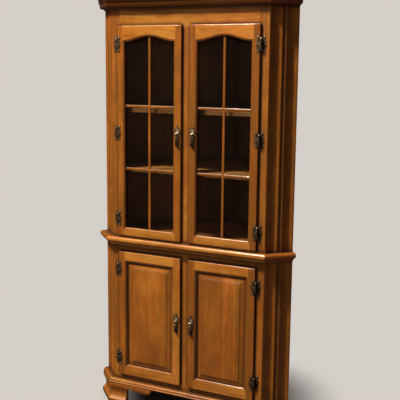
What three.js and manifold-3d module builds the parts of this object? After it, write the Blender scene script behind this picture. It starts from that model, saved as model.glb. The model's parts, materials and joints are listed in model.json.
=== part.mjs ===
// Corner cupboard in two stages: arched glazed doors over raised-panel doors, with fluted canted sides,
// crown, waist and base mouldings, ogee bracket feet, surface hinges and drop pulls.
// Millimetres, +Z up. The front faces -Y, and the rear corner points to +Y. The floor is z = 0.
import * as THREE from "three";
import { mergeVertices } from "three/addons/utils/BufferGeometryUtils.js";
import Module from "manifold-3d";

const wasm = await Module();
wasm.setup();

// Joints between pieces
const GLUE_GAP = 0.3; // between pieces that are glued, screwed or housed
const OVERRUN = 4; // how far a cutter passes its work
const ROUND_SIDES = 16; // sides of a small turned form

// Case
const CASE_FRONT = 764; // between the two front corners
const CANT_WIDTH = 132; // along each canted side, from front corner to wall
const CANT_TURN = Math.PI / 4; // a canted side meets its wall at a right angle
const BOARD = 20; // face frame and canted sides
const BACK_THICKNESS = 9;
const SHELF_THICKNESS = 18;
const SHELF_SETBACK = 5; // from the back of the face frame to a shelf's front edge
const HIGH_SHELF_RISE = 582; // from the middle deck's top to the shelf's top
const LOW_SHELF_RISE = 310;
const TOP_BOARD_DROP = 30; // from the case's top edge to the top board

// Heights up the front, stacked from the floor
const FOOT_HEIGHT = 98;
const BASE_MOULDING_HEIGHT = 20;
const STRIP_OVER_BASE = 25; // face frame that shows between moulding and door
const LOWER_DOOR_HEIGHT = 603;
const STRIP_UNDER_WAIST = 29;
const WAIST_MOULDING_HEIGHT = 40;
const STRIP_OVER_WAIST = 5;
const UPPER_DOOR_HEIGHT = 955;
const STRIP_UNDER_CROWN = 73;
const CROWN_HEIGHT = 82;
const CROWN_OVER_CASE = 12; // how far the crown stands above the case's sides

// Face frame
const STILE_SHOW = 36.5; // outer stile that shows beside a door
const MULLION_SHOW = 39; // middle post that shows between the doors

// Flutes of the canted sides
const FLUTE_MARGIN = 8;
const FLUTE_FILLET = 4;
const NARROW_FLUTE = 17;
const WIDE_FLUTE_DEPTH = 9;
const NARROW_FLUTE_DEPTH = 5;
const WIDE_FLUTE_STEPS = 8;
const NARROW_FLUTE_STEPS = 6;

// Doors, lipped over the face frame
const DOOR_PROUD = 12; // lip's front face before the face frame
const DOOR_BODY = 10; // rear of the door, inside the face frame's opening
const LIP = 8; // how far a door's edge laps over the face frame
const LIP_PLAY = 0.5; // behind the lip when the door is shut
const DOOR_PLAY = 2; // around the door's body in its opening
const DOOR_EDGE_ROUND = 3;
const UPPER_STILE = 35.5;
const UPPER_BOTTOM_RAIL = 39;
const UPPER_TOP_RAIL = 45; // at the crown of the arch
const ARCH_RISE = 23;
const ARCH_STEPS = 20;
const STICKING_WIDTH = 3; // moulded inner edge of the door's frame
const STICKING_DEPTH = 7;
const GLASS_THICKNESS = 3;
const GLASS_REBATE = 6;
const GLASS_PLAY = 1;
const LOWER_STILE = 42;
const LOWER_RAIL = 48;
const PANEL_STICKING = 4;
const PANEL_STICKING_DEPTH = 8.2;
const PANEL_GROOVE = 8;
const PANEL_PLAY = 2; // at the bottom of the groove
const PANEL_EDGE = 4.2; // thickness in the groove
const PANEL_BEVEL = 30; // from the opening's edge to the raised field
const PANEL_BEVEL_DROP = 6.2;
const PANEL_BEVEL_HOLLOW = 1.5; // power of the bevel's curve: 1 is a flat bevel
const PANEL_BEVEL_STEPS = 5;
const PANEL_SHOULDER = 1.2;

// Glazing bars
const BAR_WIDTH = 13;
const BAR_FACE = 6;
const HIGH_BAR_RISE = 600; // from the door's bottom edge to the bar's middle
const LOW_BAR_RISE = 315.5;

// Bracket feet
const FOOT_WING = 214; // along the front, from the corner to the tip of the wing
const FOOT_LEG = 76; // along the front, at the floor
const FOOT_INSET = 6; // behind the face of the case
const FOOT_SCOOP_TOP = 81;
const FOOT_SCOOP_WIDTH = 25;
const FOOT_CUSP = 69;
const FOOT_CUSP_WIDTH = 12;
const FOOT_LOBE = 65;
const FOOT_LOBE_WIDTH = 62;
const FOOT_CURVE_STEPS = 6;
const REAR_FOOT_SIDE = 70;

// Surface hinges
const HINGE_AXIS_PLAY = 0.5; // between the knuckle and the door's edge
const KNUCKLE_RADIUS = 3.5;
const PIN_RADIUS = 1.6;
const PIN_PLAY = 0.3;
const KNUCKLE_LENGTH = 15;
const FINIAL_LENGTH = 4;
const LEAF_THICKNESS = 1.6;
const LEAF_WIDTH = 17;
const LEAF_HEIGHT = 68;
const UPPER_HINGE_INSET = 82.5; // from each end of the door to the middle of its end hinges
const LOWER_HINGE_INSET = 84.5;

// Drop pulls
const PULL_HEIGHT = 98;
const PULL_WIDTH = 30;
const PULL_THICKNESS = 2;
const PULL_DROP = 4; // below the middle of the door
const PIVOT_RISE = 14; // above the middle of the plate
const PIVOT_STAND = 9; // before the plate
const PIVOT_PIN_RADIUS = 1.2;
const EYE_RADIUS = 3;
const EYE_WIDTH = 4;
const EAR_THICKNESS = 2.2;
const EAR_PLAY = 0.4;
const DROP_LENGTH = 55;
const DROP_RADIUS = 5.6;

// Section of each moulding as shares of its projection and its height, from the case outward
const CROWN_PROJECTION = 58;
const WAIST_PROJECTION = 34;
const BASE_PROJECTION = 27;
const FOOT_PROJECTION = 30;
const crownShares = [
  [0.1, 0], [0.1, 0.06], [0.28, 0.08], [0.4, 0.13], [0.46, 0.21], [0.48, 0.3], [0.48, 0.36],
  [0.53, 0.38], [0.55, 0.5], [0.61, 0.62], [0.71, 0.73], [0.86, 0.79], [0.93, 0.8], [0.93, 0.86],
  [0.98, 0.91], [1, 0.96], [1, 1],
];
const waistShares = [
  [0.24, 0], [0.27, 0.12], [0.36, 0.24], [0.5, 0.31], [0.62, 0.33], [0.62, 0.46], [0.86, 0.48],
  [0.95, 0.53], [1, 0.62], [1, 0.76], [0.95, 0.89], [0.86, 0.96], [0.72, 1],
];
const baseShares = [
  [0.9, 0], [0.98, 0.07], [1, 0.18], [0.98, 0.3], [0.88, 0.38], [0.84, 0.4], [0.84, 0.62],
  [0.78, 0.76], [0.66, 0.88], [0.52, 0.95], [0.5, 1],
];
const footShares = [
  [1, 0], [1, 0.19], [0.9, 0.22], [0.66, 0.26], [0.5, 0.32], [0.43, 0.42], [0.47, 0.53],
  [0.6, 0.65], [0.76, 0.76], [0.85, 0.87], [0.86, 0.95], [0.82, 1],
];

// Outline of a hinge leaf and of the pull's plate, as shares of the width and of the half height
const leafShares = [
  [0, 0.62], [0.16, 0.66], [0.22, 0.78], [0.2, 0.9], [0.42, 1], [0.7, 0.97], [0.86, 0.84],
  [0.78, 0.68], [0.58, 0.58], [0.66, 0.44], [0.92, 0.32], [1, 0.16], [0.86, 0],
];
const plateShares = [
  [0, 1], [0.22, 0.92], [0.34, 0.82], [0.22, 0.73], [0.5, 0.7], [0.84, 0.6], [0.98, 0.46],
  [0.74, 0.36], [0.9, 0.22], [0.86, 0.08], [0.6, -0.06], [0.42, -0.2], [0.5, -0.34], [0.3, -0.46],
  [0.34, -0.6], [0.5, -0.7], [0.36, -0.82], [0.14, -0.9], [0, -1],
];
// Half section of the drop: shares of its radius and of its length below the pivot
const dropShares = [
  [0, 0.97], [0.3, 0.95], [0.36, 0.9], [0.7, 0.87], [1, 0.78], [0.94, 0.66], [0.68, 0.5],
  [0.46, 0.34], [0.34, 0.2], [0.34, 0.04], [0, 0.04],
];

// Places worked out from the sizes
const CORNER_X = CASE_FRONT / 2;
const CANT_RUN_X = CANT_WIDTH * Math.cos(CANT_TURN);
const CANT_RUN_Y = CANT_WIDTH * Math.sin(CANT_TURN);
const MITRE = Math.tan(CANT_TURN / 2);
const WALL_SUM = CORNER_X + CANT_RUN_X + CANT_RUN_Y; // x + y along the right-hand wall
const INSIDE_SUM = WALL_SUM - (BACK_THICKNESS + GLUE_GAP) / Math.cos(CANT_TURN); // and inside its back
const CASE_BOTTOM = FOOT_HEIGHT + GLUE_GAP;
const BASE_TOP = CASE_BOTTOM + BASE_MOULDING_HEIGHT;
const LOWER_DOOR_BOTTOM = BASE_TOP + STRIP_OVER_BASE;
const LOWER_DOOR_TOP = LOWER_DOOR_BOTTOM + LOWER_DOOR_HEIGHT;
const WAIST_BOTTOM = LOWER_DOOR_TOP + STRIP_UNDER_WAIST;
const WAIST_TOP = WAIST_BOTTOM + WAIST_MOULDING_HEIGHT;
const UPPER_DOOR_BOTTOM = WAIST_TOP + STRIP_OVER_WAIST;
const UPPER_DOOR_TOP = UPPER_DOOR_BOTTOM + UPPER_DOOR_HEIGHT;
const CROWN_BOTTOM = UPPER_DOOR_TOP + STRIP_UNDER_CROWN;
const CASE_TOP = CROWN_BOTTOM + CROWN_HEIGHT - CROWN_OVER_CASE;
const DOOR_WIDTH = CORNER_X - STILE_SHOW - MULLION_SHOW / 2;
const DOOR_CENTRE = (CORNER_X - STILE_SHOW + MULLION_SHOW / 2) / 2;
const DOOR_EDGE = CORNER_X - STILE_SHOW;
const OPENING_EDGE = DOOR_EDGE - LIP; // inner edge of an outer stile
const BASE_RAIL_TOP = LOWER_DOOR_BOTTOM + LIP;
const WAIST_RAIL_BOTTOM = LOWER_DOOR_TOP - LIP;
const WAIST_RAIL_TOP = UPPER_DOOR_BOTTOM + LIP;
const FRIEZE_BOTTOM = UPPER_DOOR_TOP - LIP;
const BAR_PLANE = STICKING_DEPTH - DOOR_PROUD; // y of the glazing bars' faces
const HINGE_X = DOOR_EDGE + HINGE_AXIS_PLAY + KNUCKLE_RADIUS;
const HINGE_Y = -(DOOR_PROUD + GLUE_GAP + LEAF_THICKNESS / 2);
const PIVOT_X = (MULLION_SHOW + UPPER_STILE) / 2;
const PIVOT_Y = -(DOOR_PROUD + GLUE_GAP + PULL_THICKNESS + PIVOT_STAND);

// Finishes
const wood = new THREE.MeshStandardMaterial({ color: 0xa8652c, roughness: 0.38, metalness: 0 });
const darkWood = new THREE.MeshStandardMaterial({ color: 0x5b3517, roughness: 0.6, metalness: 0 });
const brass = new THREE.MeshStandardMaterial({ color: 0x6e5a38, roughness: 0.42, metalness: 0.9 });
const glass = new THREE.MeshStandardMaterial({
  color: 0xcfd8d6, roughness: 0.05, metalness: 0, transparent: true, opacity: 0.25,
});

// The cupboard is built with its front face on y = 0, and stands centred on the group's origin.
const cupboard = new THREE.Group();
cupboard.position.y = -(WALL_SUM - CROWN_PROJECTION) / 2;
const group = new THREE.Group();
group.add(cupboard);

function place(name, geometry, material, x = 0, y = 0, z = 0) {
  const mesh = new THREE.Mesh(geometry, material);
  mesh.name = name;
  mesh.position.set(x, y, z);
  cupboard.add(mesh);
  return mesh;
}

// The same piece on the other side of the middle plane
function placeMirrored(name, geometry, material, x = 0, y = 0, z = 0) {
  place(name, geometry, material, -x, y, z).scale.x = -1;
}

function toSolid(geometry) {
  const bare = geometry.clone();
  bare.deleteAttribute("normal");
  bare.deleteAttribute("uv");
  const merged = mergeVertices(bare);
  return new wasm.Manifold(new wasm.Mesh({
    numProp: 3,
    vertProperties: merged.attributes.position.array,
    triVerts: new Uint32Array(merged.index.array),
  }));
}

function toGeometry(solid) {
  const mesh = solid.getMesh();
  const indexed = new THREE.BufferGeometry();
  indexed.setAttribute("position", new THREE.BufferAttribute(mesh.vertProperties, mesh.numProp));
  indexed.setIndex(new THREE.BufferAttribute(mesh.triVerts, 1));
  const flat = indexed.toNonIndexed();
  flat.computeVertexNormals();
  return flat;
}

const joined = (...geometries) => toGeometry(
  geometries.map(toSolid).reduce((sum, next) => sum.add(next)),
);
const cut = (geometry, cutter) => toGeometry(toSolid(geometry).subtract(toSolid(cutter)));

const points2 = (pairs) => pairs.map(([x, y]) => new THREE.Vector2(x, y));

// A plan outline raised from z0 to z1.
function prism(outline, z0, z1) {
  const shape = new THREE.Shape(outline);
  return new THREE.ExtrudeGeometry(shape, { depth: z1 - z0, bevelEnabled: false }).translate(0, 0, z0);
}

// An outline in x and z that runs through from y0 at the front to y1 at the back.
function slab(outline, y0, y1) {
  const shape = outline instanceof THREE.Shape ? outline : new THREE.Shape(outline);
  return new THREE.ExtrudeGeometry(shape, { depth: y1 - y0, bevelEnabled: false })
    .rotateX(Math.PI / 2)
    .translate(0, y1, 0);
}

const rectangle = (x0, x1, y0, y1) => points2([[x0, y0], [x1, y0], [x1, y1], [x0, y1]]);
const board = (x0, x1, y0, y1, z0, z1) => prism(rectangle(x0, x1, y0, y1), z0, z1);

// Skins a row of sections, each a list of matching loops with the outline first and any hole after it,
// and closes both ends. set(point, index) puts a section's point in space.
function loft(sections, set) {
  const corners = [];
  const triangle = (a, b, c) => {
    if (!a.equals(b) && !b.equals(c) && !c.equals(a)) corners.push(...a, ...b, ...c);
  };
  const solid = sections.map((loops, index) => loops.map((loop) => loop.map((p) => set(p, index))));
  for (let s = 0; s + 1 < solid.length; s++) {
    solid[s].forEach((loop, l) => {
      const next = solid[s + 1][l];
      loop.forEach((p, i) => {
        const j = (i + 1) % loop.length;
        triangle(p, loop[j], next[j]);
        triangle(p, next[j], next[i]);
      });
    });
  }
  for (const end of [0, solid.length - 1]) {
    const [outline, ...holes] = sections[end];
    const all = solid[end].flat();
    for (const [a, b, c] of THREE.ShapeUtils.triangulateShape(outline, holes)) {
      if (end === 0) triangle(all[c], all[b], all[a]);
      else triangle(all[a], all[b], all[c]);
    }
  }
  const geometry = new THREE.BufferGeometry();
  geometry.setAttribute("position", new THREE.Float32BufferAttribute(corners, 3));
  geometry.computeVertexNormals();
  return geometry;
}

// Corners of the case's front outline, set out by a distance from its faces: wall, corner, corner, wall.
function frontOutline(out) {
  const wallX = CORNER_X + CANT_RUN_X + out * Math.sin(CANT_TURN);
  const wallY = CANT_RUN_Y - out * Math.cos(CANT_TURN);
  const cornerX = CORNER_X + out * MITRE;
  return points2([[wallX, wallY], [cornerX, -out], [-cornerX, -out], [-wallX, wallY]]);
}

// A moulding mitred round the front, from its section in distance out and height.
function mouldingRound(section, stations = [0, 1, 2, 3]) {
  return loft(
    stations.map(() => [section]),
    (p, index) => {
      const plan = frontOutline(p.x)[stations[index]];
      return new THREE.Vector3(plan.x, plan.y, p.y);
    },
  );
}

function mouldingSection(shares, projection, bottom, height, back = GLUE_GAP) {
  const face = shares.map(([out, up]) => [out * projection, bottom + up * height]);
  return points2([[back, bottom], ...face, [back, bottom + height]]);
}

// Canted sides with three upright flutes, wide, narrow and wide, run from end to end.
function addPilasters() {
  const wide = (CANT_WIDTH - 2 * FLUTE_MARGIN - 2 * FLUTE_FILLET - NARROW_FLUTE) / 2;
  const flutes = [
    [FLUTE_MARGIN, wide, WIDE_FLUTE_DEPTH, WIDE_FLUTE_STEPS],
    [FLUTE_MARGIN + wide + FLUTE_FILLET, NARROW_FLUTE, NARROW_FLUTE_DEPTH, NARROW_FLUTE_STEPS],
    [CANT_WIDTH - FLUTE_MARGIN - wide, wide, WIDE_FLUTE_DEPTH, WIDE_FLUTE_STEPS],
  ];
  const face = flutes.flatMap(([start, width, depth, steps]) =>
    Array.from({ length: steps + 1 }, (_, i) => {
      const t = i / steps;
      return [start + width * t, depth * Math.sin(Math.PI * t)];
    }),
  );
  const outline = [[0, 0], ...face, [CANT_WIDTH, 0], [CANT_WIDTH, BOARD], [BOARD * MITRE, BOARD]];
  for (const [name, side] of [["left_pilaster", -1], ["right_pilaster", 1]]) {
    const plan = outline.map(([along, deep]) => [
      side * (CORNER_X + along * Math.cos(CANT_TURN) - deep * Math.sin(CANT_TURN)),
      along * Math.sin(CANT_TURN) + deep * Math.cos(CANT_TURN),
    ]);
    place(name, prism(points2(plan), CASE_BOTTOM, CASE_TOP), wood);
  }
}

// Face frame: two mitred stiles, two posts between the doors and three rails.
function addFaceFrame() {
  const mitreGap = GLUE_GAP / Math.cos(CANT_TURN / 2);
  for (const [name, side] of [["left_stile", -1], ["right_stile", 1]]) {
    const plan = [
      [side * OPENING_EDGE, 0],
      [side * (CORNER_X - mitreGap), 0],
      [side * (CORNER_X - mitreGap - BOARD * MITRE), BOARD],
      [side * OPENING_EDGE, BOARD],
    ];
    place(name, prism(points2(plan), CASE_BOTTOM, CASE_TOP), wood);
  }
  const railEnd = OPENING_EDGE - GLUE_GAP;
  const rail = (z0, z1) => board(-railEnd, railEnd, 0, BOARD, z0, z1);
  place("base_rail", rail(CASE_BOTTOM, BASE_RAIL_TOP), wood);
  place("waist_rail", rail(WAIST_RAIL_BOTTOM, WAIST_RAIL_TOP), wood);
  place("frieze_rail", rail(FRIEZE_BOTTOM, CASE_TOP), wood);
  const half = MULLION_SHOW / 2 + LIP;
  const post = (z0, z1) => board(-half, half, 0, BOARD, z0 + GLUE_GAP, z1 - GLUE_GAP);
  place("lower_mullion", post(BASE_RAIL_TOP, WAIST_RAIL_BOTTOM), wood);
  place("upper_mullion", post(WAIST_RAIL_TOP, FRIEZE_BOTTOM), wood);
}

// Backs lie on the two walls and meet at the rear corner, where the left one laps the right one.
function addBacks() {
  const wallX = CORNER_X + CANT_RUN_X - (BOARD + GLUE_GAP) * Math.sin(CANT_TURN);
  const wallY = CANT_RUN_Y + (BOARD + GLUE_GAP) * Math.cos(CANT_TURN);
  const length = wallX / Math.sin(CANT_TURN);
  const alongX = -Math.sin(CANT_TURN);
  const alongY = Math.cos(CANT_TURN);
  for (const [name, side, end] of [
    ["left_back", -1, length],
    ["right_back", 1, length - BACK_THICKNESS - GLUE_GAP],
  ]) {
    const corners = [[0, 0], [end, 0], [end, BACK_THICKNESS], [0, BACK_THICKNESS]];
    const plan = corners.map(([along, deep]) => [
      side * (wallX + along * alongX - deep * alongY),
      wallY + along * alongY + deep * alongX,
    ]);
    place(name, prism(points2(plan), CASE_BOTTOM, CASE_TOP), darkWood);
  }
}

// Five-sided board that fills the case between its canted sides and backs, from a front edge at y.
function corneredBoard(front, top) {
  const inner = BOARD + GLUE_GAP;
  const slope = CORNER_X - inner * MITRE - inner; // x - y along the inside of a canted side
  const plan = [
    [-(slope + front), front],
    [slope + front, front],
    [(INSIDE_SUM + slope) / 2, (INSIDE_SUM - slope) / 2],
    [0, INSIDE_SUM],
    [-(INSIDE_SUM + slope) / 2, (INSIDE_SUM - slope) / 2],
  ];
  return prism(points2(plan), top - SHELF_THICKNESS, top);
}

function addBoards() {
  const behindFrame = BOARD + GLUE_GAP;
  place("bottom_board", corneredBoard(behindFrame, BASE_RAIL_TOP), darkWood);
  place("middle_deck", corneredBoard(behindFrame, WAIST_RAIL_TOP), darkWood);
  place("low_shelf", corneredBoard(BOARD + SHELF_SETBACK, WAIST_RAIL_TOP + LOW_SHELF_RISE), darkWood);
  place("high_shelf", corneredBoard(BOARD + SHELF_SETBACK, WAIST_RAIL_TOP + HIGH_SHELF_RISE), darkWood);
  place("top_board", corneredBoard(behindFrame, CASE_TOP - TOP_BOARD_DROP), darkWood);
}

function addMouldings() {
  const crown = mouldingSection(crownShares, CROWN_PROJECTION, CROWN_BOTTOM, CROWN_HEIGHT);
  const waist = mouldingSection(waistShares, WAIST_PROJECTION, WAIST_BOTTOM, WAIST_MOULDING_HEIGHT);
  const base = mouldingSection(baseShares, BASE_PROJECTION, CASE_BOTTOM, BASE_MOULDING_HEIGHT);
  place("crown_moulding", mouldingRound(crown), wood);
  place("waist_moulding", mouldingRound(waist), wood);
  place("base_moulding", mouldingRound(base), wood);
}

// Scroll-cut void beside a foot's leg: scoop, cusp, long lobe and a cove up to the wing's tip.
function footScroll() {
  const leg = FOOT_LEG - CORNER_X;
  const scoop = leg + FOOT_SCOOP_WIDTH;
  const cusp = scoop + FOOT_CUSP_WIDTH;
  const lobe = cusp + FOOT_LOBE_WIDTH;
  const tip = FOOT_WING - CORNER_X;
  const shape = new THREE.Shape();
  shape.moveTo(leg, -OVERRUN);
  shape.lineTo(tip + OVERRUN, -OVERRUN);
  shape.lineTo(tip + OVERRUN, FOOT_HEIGHT + OVERRUN);
  shape.lineTo(tip, FOOT_HEIGHT + OVERRUN);
  shape.lineTo(tip, FOOT_HEIGHT);
  shape.quadraticCurveTo(tip, FOOT_LOBE, lobe, FOOT_LOBE);
  shape.quadraticCurveTo((cusp + lobe) / 2, FOOT_CUSP, cusp, FOOT_CUSP);
  shape.quadraticCurveTo(cusp, FOOT_SCOOP_TOP, scoop, FOOT_SCOOP_TOP);
  shape.quadraticCurveTo(leg, FOOT_SCOOP_TOP, leg, FOOT_HEIGHT / 2);
  return new THREE.Shape(shape.getPoints(FOOT_CURVE_STEPS));
}

// Ogee bracket feet turn the front corners: a scroll-cut wing on the front and a plain canted side.
function addFeet() {
  const section = mouldingSection(footShares, FOOT_PROJECTION, 0, FOOT_HEIGHT, -FOOT_INSET);
  const full = mouldingRound(section, [2, 3]);
  const wing = loft([[section], [section]], (p, index) =>
    index ? new THREE.Vector3(-CORNER_X - p.x * MITRE, -p.x, p.y)
      : new THREE.Vector3(FOOT_WING - CORNER_X, -p.x, p.y));
  const deep = FOOT_PROJECTION + OVERRUN;
  const left = cut(joined(wing, full), slab(footScroll(), -deep, FOOT_INSET + OVERRUN));
  place("left_foot", left, wood);
  placeMirrored("right_foot", left, wood);
  const half = REAR_FOOT_SIDE * Math.sin(CANT_TURN);
  const plan = [
    [0, INSIDE_SUM - 2 * half],
    [half, INSIDE_SUM - half],
    [0, INSIDE_SUM],
    [-half, INSIDE_SUM - half],
  ];
  place("rear_foot", prism(points2(plan), 0, BASE_RAIL_TOP - SHELF_THICKNESS - GLUE_GAP), darkWood);
}

// Door opening with an arched head, grown by a distance on every side, about the door's middle line.
// The head is a raised cosine: level at both corners and at the crown.
function archedOpening(grow) {
  const half = DOOR_WIDTH / 2 - UPPER_STILE + grow;
  const bottom = UPPER_BOTTOM_RAIL - grow;
  const spring = UPPER_DOOR_HEIGHT - UPPER_TOP_RAIL - ARCH_RISE + grow;
  const head = Array.from({ length: ARCH_STEPS + 1 }, (_, i) => {
    const t = i / ARCH_STEPS;
    return [half - 2 * half * t, spring + (ARCH_RISE * (1 - Math.cos(2 * Math.PI * t))) / 2];
  });
  return points2([[-half, bottom], [half, bottom], ...head]);
}

function plainOpening(grow) {
  const half = DOOR_WIDTH / 2 - LOWER_STILE + grow;
  return rectangle(-half, half, LOWER_RAIL - grow, LOWER_DOOR_HEIGHT - LOWER_RAIL + grow);
}

// Lipped door frame, back to front. hole is a list of [y, grow] steps of the opening's edge.
function doorFrame(height, opening, hole) {
  const body = LIP + DOOR_PLAY;
  const front = -DOOR_PROUD;
  const edge = [
    [DOOR_BODY, body],
    [-LIP_PLAY, body],
    [-LIP_PLAY, 0],
    [front + DOOR_EDGE_ROUND, 0],
    [front + DOOR_EDGE_ROUND / 3, DOOR_EDGE_ROUND / 3],
    [front, DOOR_EDGE_ROUND],
  ];
  const outer = loft(
    edge.map(([, inset]) => [rectangle(inset - DOOR_WIDTH / 2, DOOR_WIDTH / 2 - inset, inset, height - inset)]),
    (p, index) => new THREE.Vector3(p.x, edge[index][0], p.y),
  );
  const steps = [
    [DOOR_BODY + OVERRUN, hole[0][1]],
    ...hole,
    [front - OVERRUN, hole[hole.length - 1][1]],
  ];
  const inner = loft(
    steps.map(([, grow]) => [opening(grow)]),
    (p, index) => new THREE.Vector3(p.x, steps[index][0], p.y),
  );
  return cut(outer, inner);
}

// Glazing bar along x or z with a flat face and sloping sides, from its back at y = 0.
function glazingBar(length, upright) {
  const depth = -BAR_PLANE;
  const section = points2([
    [-BAR_WIDTH / 2, 0], [BAR_WIDTH / 2, 0],
    [BAR_WIDTH / 2, depth / 3], [BAR_FACE / 2, depth],
    [-BAR_FACE / 2, depth], [-BAR_WIDTH / 2, depth / 3],
  ]);
  const bar = new THREE.ExtrudeGeometry(new THREE.Shape(section), { depth: length, bevelEnabled: false });
  return upright ? bar.rotateZ(Math.PI) : bar.rotateZ(Math.PI).rotateY(Math.PI / 2);
}

// Upright bar and two cross bars, halved together and fitted inside the sticking.
function glazingBars() {
  const inside = GLUE_GAP + STICKING_WIDTH;
  const half = DOOR_WIDTH / 2 - UPPER_STILE - inside;
  const bottom = UPPER_BOTTOM_RAIL + inside;
  const crown = UPPER_DOOR_HEIGHT - UPPER_TOP_RAIL - inside;
  const cross = (rise) => glazingBar(2 * half, false).translate(-half, 0, rise);
  const upright = glazingBar(crown - bottom + ARCH_RISE, true).translate(0, 0, bottom);
  const bars = toSolid(joined(upright, cross(HIGH_BAR_RISE), cross(LOW_BAR_RISE)));
  const inner = toSolid(slab(archedOpening(-inside), BAR_PLANE - OVERRUN, OVERRUN));
  return toGeometry(bars.intersect(inner));
}

// Raised panel: a tongue in the frame's groove, a hollow bevel, a small shoulder and a flat field.
function raisedPanel() {
  const back = -DOOR_PROUD + PANEL_STICKING_DEPTH + GLUE_GAP + PANEL_EDGE;
  const tongue = back - PANEL_EDGE;
  const tongueEnd = PANEL_PLAY - PANEL_GROOVE;
  const bevelStart = PANEL_STICKING + GLUE_GAP;
  const bevel = Array.from({ length: PANEL_BEVEL_STEPS + 1 }, (_, i) => {
    const t = i / PANEL_BEVEL_STEPS;
    return [tongue - PANEL_BEVEL_DROP * t ** PANEL_BEVEL_HOLLOW, bevelStart + (PANEL_BEVEL - bevelStart) * t];
  });
  const steps = [
    [back, tongueEnd],
    [tongue, tongueEnd],
    ...bevel,
    [tongue - PANEL_BEVEL_DROP - PANEL_SHOULDER, PANEL_BEVEL],
  ];
  return loft(
    steps.map(([, inset]) => [plainOpening(-inset)]),
    (p, index) => new THREE.Vector3(p.x, steps[index][0], p.y),
  );
}

function addUpperDoors() {
  const hole = [
    [0, GLASS_REBATE],
    [0, -STICKING_WIDTH],
    [BAR_PLANE, -STICKING_WIDTH],
    [BAR_PLANE, 0],
  ];
  const frame = doorFrame(UPPER_DOOR_HEIGHT, archedOpening, hole);
  const bars = glazingBars().translate(0, -GLUE_GAP, 0);
  const pane = slab(archedOpening(GLASS_REBATE - GLASS_PLAY), GLUE_GAP, GLUE_GAP + GLASS_THICKNESS);
  for (const [side, x] of [["left", -DOOR_CENTRE], ["right", DOOR_CENTRE]]) {
    place(`upper_${side}_door_frame`, frame, wood, x, 0, UPPER_DOOR_BOTTOM);
    place(`upper_${side}_glazing_bars`, bars, wood, x, 0, UPPER_DOOR_BOTTOM);
    place(`upper_${side}_glass`, pane, glass, x, 0, UPPER_DOOR_BOTTOM);
  }
}

function addLowerDoors() {
  const groove = -DOOR_PROUD + PANEL_STICKING_DEPTH;
  const grooveBack = groove + PANEL_EDGE + 2 * GLUE_GAP;
  const hole = [
    [grooveBack, 0],
    [grooveBack, PANEL_GROOVE],
    [groove, PANEL_GROOVE],
    [groove, -PANEL_STICKING],
    [groove - PANEL_STICKING_DEPTH / 3, -PANEL_STICKING],
    [groove - (2 * PANEL_STICKING_DEPTH) / 3, -PANEL_STICKING / 2],
    [-DOOR_PROUD, 0],
  ];
  const frame = doorFrame(LOWER_DOOR_HEIGHT, plainOpening, hole);
  const panel = raisedPanel();
  for (const [side, x] of [["left", -DOOR_CENTRE], ["right", DOOR_CENTRE]]) {
    place(`lower_${side}_door_frame`, frame, wood, x, 0, LOWER_DOOR_BOTTOM);
    place(`lower_${side}_panel`, panel, wood, x, 0, LOWER_DOOR_BOTTOM);
  }
}

const turned = (radius, length) => new THREE.CylinderGeometry(radius, radius, length, ROUND_SIDES)
  .rotateX(Math.PI / 2);

// Fancy leaf lying in x and z, its straight inner edge at x = from, mirrored above and below the middle.
function leaf(from) {
  const upper = leafShares.map(([x, z]) => [from + x * LEAF_WIDTH, (z * LEAF_HEIGHT) / 2]);
  const lower = upper.slice(0, -1).reverse().map(([x, z]) => [x, -z]);
  return points2([...upper, ...lower].reverse());
}

// Right-hand hinge about its own axis, the door to its left.
// The cranked leaf on the stile has the end knuckles, finials and pin, and the door's leaf the middle knuckle.
function hingeLeaves() {
  const pitch = KNUCKLE_LENGTH + GLUE_GAP;
  const barrel = 3 * KNUCKLE_LENGTH + 2 * GLUE_GAP;
  const plateFront = -HINGE_Y - GLUE_GAP - LEAF_THICKNESS;
  const plate = slab(leaf(KNUCKLE_RADIUS - LEAF_THICKNESS), plateFront, plateFront + LEAF_THICKNESS);
  const ends = [-1, 1].flatMap((end) => [
    turned(KNUCKLE_RADIUS, KNUCKLE_LENGTH).translate(0, 0, end * pitch),
    turned(PIN_RADIUS, FINIAL_LENGTH).translate(0, 0, (end * (barrel + FINIAL_LENGTH)) / 2),
    board(
      KNUCKLE_RADIUS - LEAF_THICKNESS, KNUCKLE_RADIUS, 0, plateFront + LEAF_THICKNESS / 2,
      end * pitch - KNUCKLE_LENGTH / 2, end * pitch + KNUCKLE_LENGTH / 2,
    ),
  ]);
  const pin = turned(PIN_RADIUS, barrel);
  const frameLeaf = joined(plate, pin, ...ends);
  const clear = KNUCKLE_RADIUS + HINGE_AXIS_PLAY;
  const doorPlate = slab(leaf(clear).map((p) => new THREE.Vector2(-p.x, p.y)).reverse(),
    -LEAF_THICKNESS / 2, LEAF_THICKNESS / 2);
  const tongue = board(
    -clear - HINGE_AXIS_PLAY, 0, -LEAF_THICKNESS / 2, LEAF_THICKNESS / 2,
    -KNUCKLE_LENGTH / 2, KNUCKLE_LENGTH / 2,
  );
  const knuckle = turned(KNUCKLE_RADIUS, KNUCKLE_LENGTH);
  const bore = turned(PIN_RADIUS + PIN_PLAY, KNUCKLE_LENGTH + OVERRUN);
  return [frameLeaf, cut(joined(doorPlate, tongue, knuckle), bore)];
}

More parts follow.
